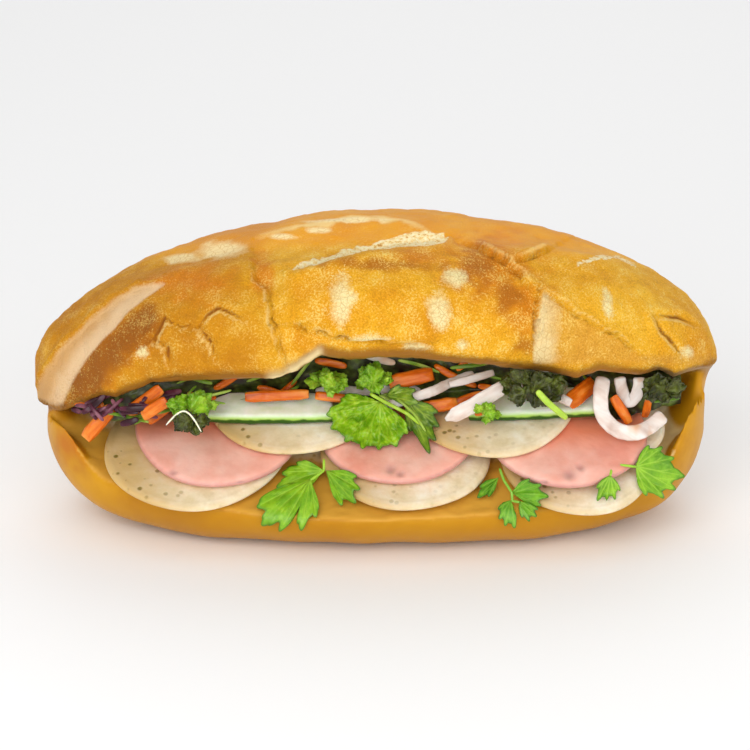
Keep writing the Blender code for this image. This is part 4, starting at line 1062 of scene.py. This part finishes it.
# leaflets: base (x, rise), then lobes as (direction, length, half spread), all in mm and degrees
leafSettings = {
    "thick": 0.32,
    "curl": 1.3,
    "sprig_left": {"tone": "fresh", "ruffle": 0.35, "tooth": 2.5, "leaflets": [
        ((-16.3, 13.3), [(165, 9.0, 18), (184, 13.2, 16), (199, 15.6, 13), (215, 11.0, 16)]),
        ((-20.4, 10.6), [(207, 18.5, 14), (223, 20.5, 13), (239, 18.5, 9), (260, 15.8, 10), (279, 11.5, 14)]),
        ((-15.4, 13.3), [(-10, 9.6, 14), (-28, 11.8, 12), (-47, 13.4, 12), (-65, 11.6, 12)])],
        "stems": [[(-16.2, 17.0), (-16.2, 13.4), (-20.4, 10.4)]]},
    "sprig_middle": {"tone": "deep", "ruffle": 0.25, "tooth": 2.0, "leaflets": [
        ((38.2, 11.1), [(205, 6.6, 15), (222, 9.0, 14), (240, 6.6, 14)]),
        ((42.1, 6.7), [(40, 6.8, 16), (17, 9.2, 12), (-5, 11.2, 12), (-24, 9.6, 12)]),
        ((41.8, 4.2), [(212, 4.8, 18), (236, 6.8, 13), (256, 8.0, 12), (277, 8.6, 12)]),
        ((44.4, 4.1), [(-80, 5.2, 14), (-64, 7.0, 12), (-43, 7.0, 12), (-24, 6.0, 13)])],
        "stems": [[(38.4, 14.2), (39.6, 10.6), (42.0, 6.8), (42.2, 4.2), (44.4, 3.8)]]},
    "sprig_small": {"tone": "fresh", "ruffle": 0.25, "tooth": 1.9, "leaflets": [
        ((72.2, 12.2), [(222, 5.8, 15), (243, 8.8, 12), (262, 7.8, 11), (282, 7.6, 11), (304, 5.8, 14)])],
        "stems": [[(72.6, 14.0), (72.2, 12.0)]]},
    "sprig_right": {"tone": "fresh", "ruffle": 0.4, "tooth": 2.3, "leaflets": [
        ((80.6, 14.8), [(56, 7.8, 14), (34, 10.6, 12), (11, 12.8, 12), (-12, 16.4, 12), (-30, 15.2, 10), (-48, 13.6, 11),
                        (-70, 9.8, 13)])],
        "stems": [[(75.4, 15.4), (81.0, 14.6)]]},
    "coriander_middle": {"tone": "crisp", "ruffle": 0.9, "tooth": 2.4, "crinkle": 1.2, "body": 0.92, "rings": 26, "waves": 2.4, "leaflets": [
        ((1.4, 34.6), [(176, 12.5, 18), (193, 17.4, 15), (208, 17.6, 14), (228, 16.6, 15), (248, 15.6, 15), (268, 14.8, 15),
                       (290, 14.8, 15), (311, 13.0, 15)])],
        "stems": [[(-2.0, 37.4), (3.4, 34.4), (9.6, 31.2), (14.0, 27.6)]], "stemWidth": 1.2},
    "coriander_middle_dark": {"tone": "olive", "ruffle": 0.7, "tooth": 2.4, "crinkle": 0.4, "leaflets": [
        ((9.6, 35.4), [(-22, 10.6, 14), (-40, 13.2, 12), (-55, 15.6, 10), (-67, 18.2, 8), (-83, 10.0, 12)]),
        ((3.2, 36.6), [(38, 5.6, 18), (12, 9.4, 16), (-12, 10.4, 16)])],
        "stems": [[(6.4, 36.0), (12.0, 31.0), (15.6, 25.4)]]},
    # frilly bunches: middle, half size, how many leaflets
    "herb_tuft_left": {"tone": "curly", "frill": ((-15.4, 40.6), (6.8, 4.1), 12)},
    "herb_tuft_right": {"tone": "curly", "frill": ((-0.8, 41.8), (6.4, 4.9), 13)},
    "lettuce_left": {"tone": "curly", "frill": ((-56.4, 33.6), (8.0, 4.4), 13)},
    "dark_leaf_left": {"tone": "dark", "frill": ((-57.0, 28.6), (6.6, 3.2), 9)},
    "dark_leaf_middle": {"tone": "dark", "frill": ((48.6, 39.6), (11.4, 5.4), 15)},
    "dark_leaf_right": {"tone": "dark", "frill": ((89.2, 38.4), (7.6, 4.6), 11)},
    "herb_bit_middle": {"tone": "curly", "frill": ((34.2, 31.6), (4.6, 2.8), 8)},
    "green_stalk": {"tone": "stalk", "leaflets": [],
                    "stems": [[(49.0, 38.4), (52.6, 34.6), (58.8, 29.6)]], "stemWidth": 2.1},
}


def leafletOutline(lobes, angles, tooth, body):
    # radius of the blade at each angle: rounded lobes, each with small teeth and sharp notches
    reach = np.zeros(len(angles))
    splits = np.zeros(len(angles))
    for direction, length, spread in lobes:
        off = np.degrees(angles) - direction
        share = np.clip(np.abs(off) / (spread * 1.15), 0.0, 1.0)
        shape = length * np.cos(share * math.pi / 2.0) ** 0.45
        phase = np.radians(off) * length / tooth * math.pi + math.pi / 2.0
        shape = shape - 0.42 * tooth * (1.0 - np.abs(np.sin(phase)) ** 0.7)
        reach = np.maximum(reach, shape)
    # lobes further apart than their spreads are parted by a slit
    for (before, lengthA, spreadA), (after, lengthB, spreadB) in zip(sorted(lobes), sorted(lobes)[1:]):
        if after - before > spreadA + spreadB:
            slit = np.exp(-((np.degrees(angles) - (before + spreadA * (after - before) / (spreadA + spreadB))) / 2.2) ** 2)
            splits = np.maximum(splits, slit)
    directions = [lobe[0] for lobe in sorted(lobes)]
    lengths = [lobe[1] for lobe in sorted(lobes)]
    first, last = sorted(lobes)[0], sorted(lobes)[-1]
    directions = [first[0] - first[2]] + directions + [last[0] + last[2]]
    lengths = [0.45 * first[1]] + lengths + [0.45 * last[1]]
    return np.maximum(reach, body * np.interp(np.degrees(angles), directions, lengths)) * (1.0 - 0.4 * splits)


def leafletMesh(base, lobes, chosen, curl, pile, seed):
    # a fan from its base, settled on what lies below, with veins that run out to the lobes
    low = min(direction - spread for direction, _, spread in lobes)
    high = max(direction + spread for direction, _, spread in lobes)
    spokes = max(26, int((high - low) / chosen.get("step", 1.5)))
    rings = chosen.get("rings", 12)
    angles = np.radians(np.linspace(low, high, spokes))
    reach = leafletOutline(lobes, angles, chosen.get("tooth", 2.2), chosen.get("body", 0.84))
    shares = np.linspace(0.0, 1.0, rings) ** 0.85
    u = base[0] + np.outer(shares, reach * np.cos(angles))
    v = base[1] + np.outer(shares, reach * np.sin(angles))
    v = np.minimum(v, lineHeight(breadSettings["lip"], u) - 0.6)
    every = 3
    coarse = list(range(0, spokes, every)) + [spokes - 1]
    found = np.array([[pile.depth(u[r, c], v[r, c], 0.9) for c in coarse] for r in range(rings)])
    depths = np.array([np.interp(np.arange(spokes), coarse, row) for row in found])
    depths = settleGrid(u, v, depths, 0.55)
    out = np.outer(shares, reach)
    veins = np.zeros_like(out)
    for direction, length, spread in lobes:
        # the lobe's midrib and two side veins
        for swing in (0.0, -0.5, 0.5):
            start = 0.0 if swing == 0.0 else 0.45 * length
            bend = np.radians(direction) + swing * np.clip((out - start) / length, 0.0, 1.0)
            offVein = np.abs(np.sin(angles[None, :] - bend)) * out
            veins = np.maximum(veins, np.exp(-(offVein / (0.2 if swing == 0.0 else 0.14)) ** 2)
                               * (out >= start * 0.98) * ramp(1.05, 0.7, shares)[:, None])
    ruffle = chosen.get("ruffle", 0.4)
    raised = 0.25 + curl * (out / max(1.0, reach.max())) ** 2 + ruffle * (0.9 + 1.2 * wave(u, v, chosen.get("waves", 3.0), seed)) * shares[:, None]
    crinkle = chosen.get("crinkle", 0.0) * (1.0 - 3.0 * np.abs(wave(u, v, 2.2, seed + 3.0))) * ramp(0.0, 0.4, shares)[:, None]
    depths = depths - 0.25 - np.maximum(0.0, raised) - crinkle - 0.12 * veins
    points = [laid(a, b, d) for a, b, d in zip(u.ravel(), v.ravel(), depths.ravel())]
    edges = np.clip(1.0 - (reach[None, :] - out) / 0.9, 0.0, 1.0) * ramp(0.3, 0.7, shares)[:, None]
    edges *= chosen.get("shade", 1.0)
    veins *= chosen.get("shade", 1.0)
    return points, gridFaces(rings, spokes), veins.ravel(), edges.ravel()


def frillLeaflets(middle, half, count):
    # small toothed leaflets that stand out from a bunch's middle, the lowest layer first
    leaflets = []
    for index in range(count):
        direction = 360.0 * 0.382 * index + random.uniform(-20.0, 20.0)
        turn = math.radians(direction)
        start = random.uniform(0.1, 0.6) if index % 4 != 3 else -0.35
        base = (middle[0] + half[0] * start * math.cos(turn), middle[1] + half[1] * start * math.sin(turn))
        length = (1.0 - start) * math.hypot(half[0] * math.cos(turn), half[1] * math.sin(turn)) * random.uniform(0.8, 1.1)
        length = max(2.6, length)
        tilt = direction + random.uniform(-50.0, 50.0)
        lobes = [(tilt - 38.0, length * random.uniform(0.65, 0.95), 26.0), (tilt, length, 24.0),
                 (tilt + 38.0, length * random.uniform(0.65, 0.95), 26.0)]
        leaflets.append((base, lobes))
    return leaflets


def makeLeaf(node, settings, pile, seed):
    chosen = dict(settings[node])
    if "frill" in chosen:
        middle, half, count = chosen["frill"]
        chosen.update({"leaflets": frillLeaflets(middle, half, count), "stems": [], "ruffle": 1.0, "curl": 0.6, "tooth": 1.2,
                       "crinkle": 0.8, "step": 2.6, "body": 0.88, "shade": 0.5, "waves": 1.8})
    points, faces, veins, edges = [], [], [], []
    waiting = []
    for index, (base, lobes) in enumerate(chosen["leaflets"]):
        curl = chosen.get("curl", settings["curl"])
        newPoints, newFaces, vein, edge = leafletMesh(base, lobes, chosen, curl, pile, seed + index * 4.1)
        waiting.append((newPoints, newFaces))
        # a bunch's leaflets lie in layers of a few each
        if "frill" not in chosen or index % 5 == 4 or index == len(chosen["leaflets"]) - 1:
            for laidPoints, laidFaces in waiting:
                pile.add(laidPoints, laidFaces)
            waiting = []
        start = len(points)
        points += newPoints
        faces += [tuple(start + k for k in face) for face in newFaces]
        veins += list(vein)
        edges += list(edge)
    pieces = []
    if points:
        piece = meshPiece(pieceName(node), points, faces)
        setMask(piece, "vein", np.array(veins))
        setMask(piece, "edge", np.array(edges))
        selectOnly(piece)
        bpy.ops.object.mode_set(mode="EDIT")
        bpy.ops.mesh.select_all(action="SELECT")
        bpy.ops.mesh.remove_doubles(threshold=0.00001)
        bpy.ops.object.mode_set(mode="OBJECT")
        applyModifier(piece, "SOLIDIFY", {"thickness": settings["thick"] * mm, "offset": 0.0,
                                          "use_even_offset": False})
        pieces.append(piece)
    for index, stem in enumerate(chosen["stems"]):
        width = chosen.get("stemWidth", 0.85)
        path = []
        for (ua, va), (ub, vb) in zip(stem, stem[1:]):
            for step in range(5):
                share = step / 5.0
                path.append((ua + (ub - ua) * share, va + (vb - va) * share))
        path.append(stem[-1])
        depths = [pile.depth(a, b, 0.8) for a, b in path]
        depths = [min(d + 0.5 * math.dist(path[i], path[j]) for j, d in enumerate(depths)) for i in range(len(path))]
        stemPoints, stemFaces = shredShape([(a, b, d - 0.2) for (a, b), d in zip(path, depths)], width, width, 0.0)
        piece = meshPiece(pieceName(node) + "Stem%d" % index, stemPoints, stemFaces)
        setMask(piece, "vein", np.ones(len(stemPoints)))
        setMask(piece, "edge", np.zeros(len(stemPoints)))
        applyModifier(piece, "SUBSURF", {"levels": 2, "render_levels": 2})
        pieces.append(piece)
    selectOnly(pieces[0])
    for piece in pieces[1:]:
        piece.select_set(True)
    if len(pieces) > 1:
        bpy.ops.object.join()
    leaf = bpy.context.object
    leaf.name = pieceName(node)
    leaf.data.name = leaf.name
    return leaf


mouthLeaves = ["dark_leaf_middle", "dark_leaf_right", "herb_tuft_left", "herb_tuft_right", "lettuce_left",
               "dark_leaf_left", "green_stalk", "herb_bit_middle", "coriander_middle_dark", "coriander_middle"]
frontLeaves = ["sprig_left", "sprig_middle", "sprig_small", "sprig_right"]
leafPile = Pile(shown)
for seed, node in enumerate(mouthLeaves + frontLeaves):
    leaf = makeLeaf(node, leafSettings, leafPile, seed * 7.3)
    tone = leafSettings[node]["tone"]
    darkOne = node.startswith("dark") or node.endswith("dark")
    finishPiece(leaf, leafTones[tone], "dark_herb" if darkOne else "fresh_herb", node)

# a thin white sprout that arches over the dark leaf at the left
sproutPath = [(-64.4, 27.6), (-62.6, 29.6), (-60.4, 31.6), (-58.6, 32.4), (-56.8, 31.2), (-55.0, 28.6), (-53.4, 25.4)]
sproutDepths = [leafPile.depth(a, b, 0.6) for a, b in sproutPath]
sproutDepths = [min(d + 0.4 * math.dist(sproutPath[i], sproutPath[j]) for j, d in enumerate(sproutDepths))
                for i in range(len(sproutPath))]
sproutPoints, sproutFaces = shredShape([(a, b, d - 0.2) for (a, b), d in zip(sproutPath, sproutDepths)], 0.6, 0.6, 0.0)
sprout = meshPiece("sprout", sproutPoints, sproutFaces)
setMask(sprout, "vein", np.ones(len(sproutPoints)))
setMask(sprout, "edge", np.zeros(len(sproutPoints)))
applyModifier(sprout, "SUBSURF", {"levels": 2, "render_levels": 2})
finishPiece(sprout, leafTones["sprout"], "salad", "salad_heap")
print("leaves ready")


# floor, light and camera
studioSettings = {
    "floor": "FFFFFF",
    "floorSize": 8.0,
    "sky": 0.6,
    # name, place, size, power
    "lights": [("keyLight", (-0.4, -1.05, 0.68), 0.9, 8.6),
               ("fillLight", (0.6, -1.1, 0.34), 1.2, 6.4),
               ("backLight", (0.1, 0.9, 0.9), 1.2, 2.5)],
    "target": (-0.0003, 0.00156, 0.0456),
    "distance": 0.9,
    "viewWidth": 0.23985,     # metres across the picture at the target
}


def makeStudio(settings):
    bpy.ops.object.select_all(action="DESELECT")
    bpy.ops.mesh.primitive_plane_add(size=settings["floorSize"])
    floor = bpy.context.object
    floor.name = "floor"
    material, tree, shader, place = startMaterial("paleFloor", {"Roughness": 0.7})
    shader.inputs["Base Color"].default_value = toLinear(settings["floor"])
    floor.data.materials.append(material)
    target = Vector(settings["target"])
    for name, spot, size, power in settings["lights"]:
        bpy.ops.object.light_add(type="AREA", location=spot)
        lamp = bpy.context.object
        lamp.name = name
        lamp.data.size = size
        lamp.data.energy = power
        lamp.rotation_euler = (target - Vector(spot)).to_track_quat("-Z", "Y").to_euler()
    world = bpy.data.worlds.new("studio")
    world.use_nodes = True
    bpy.context.scene.world = world
    world.node_tree.nodes["Background"].inputs["Color"].default_value = (1.0, 1.0, 1.0, 1.0)
    world.node_tree.nodes["Background"].inputs["Strength"].default_value = settings["sky"]
    away = Vector((0.0, -math.cos(layFall), math.sin(layFall))) * settings["distance"]
    bpy.ops.object.camera_add(location=target + away, rotation=(math.radians(90.0) - layFall, 0.0, 0.0))
    camera = bpy.context.object
    camera.data.sensor_width = 36.0
    camera.data.lens = 36.0 * settings["distance"] / settings["viewWidth"]
    bpy.context.scene.camera = camera
    bpy.context.scene.view_settings.view_transform = "Standard"


makeStudio(studioSettings)
print("studio ready")
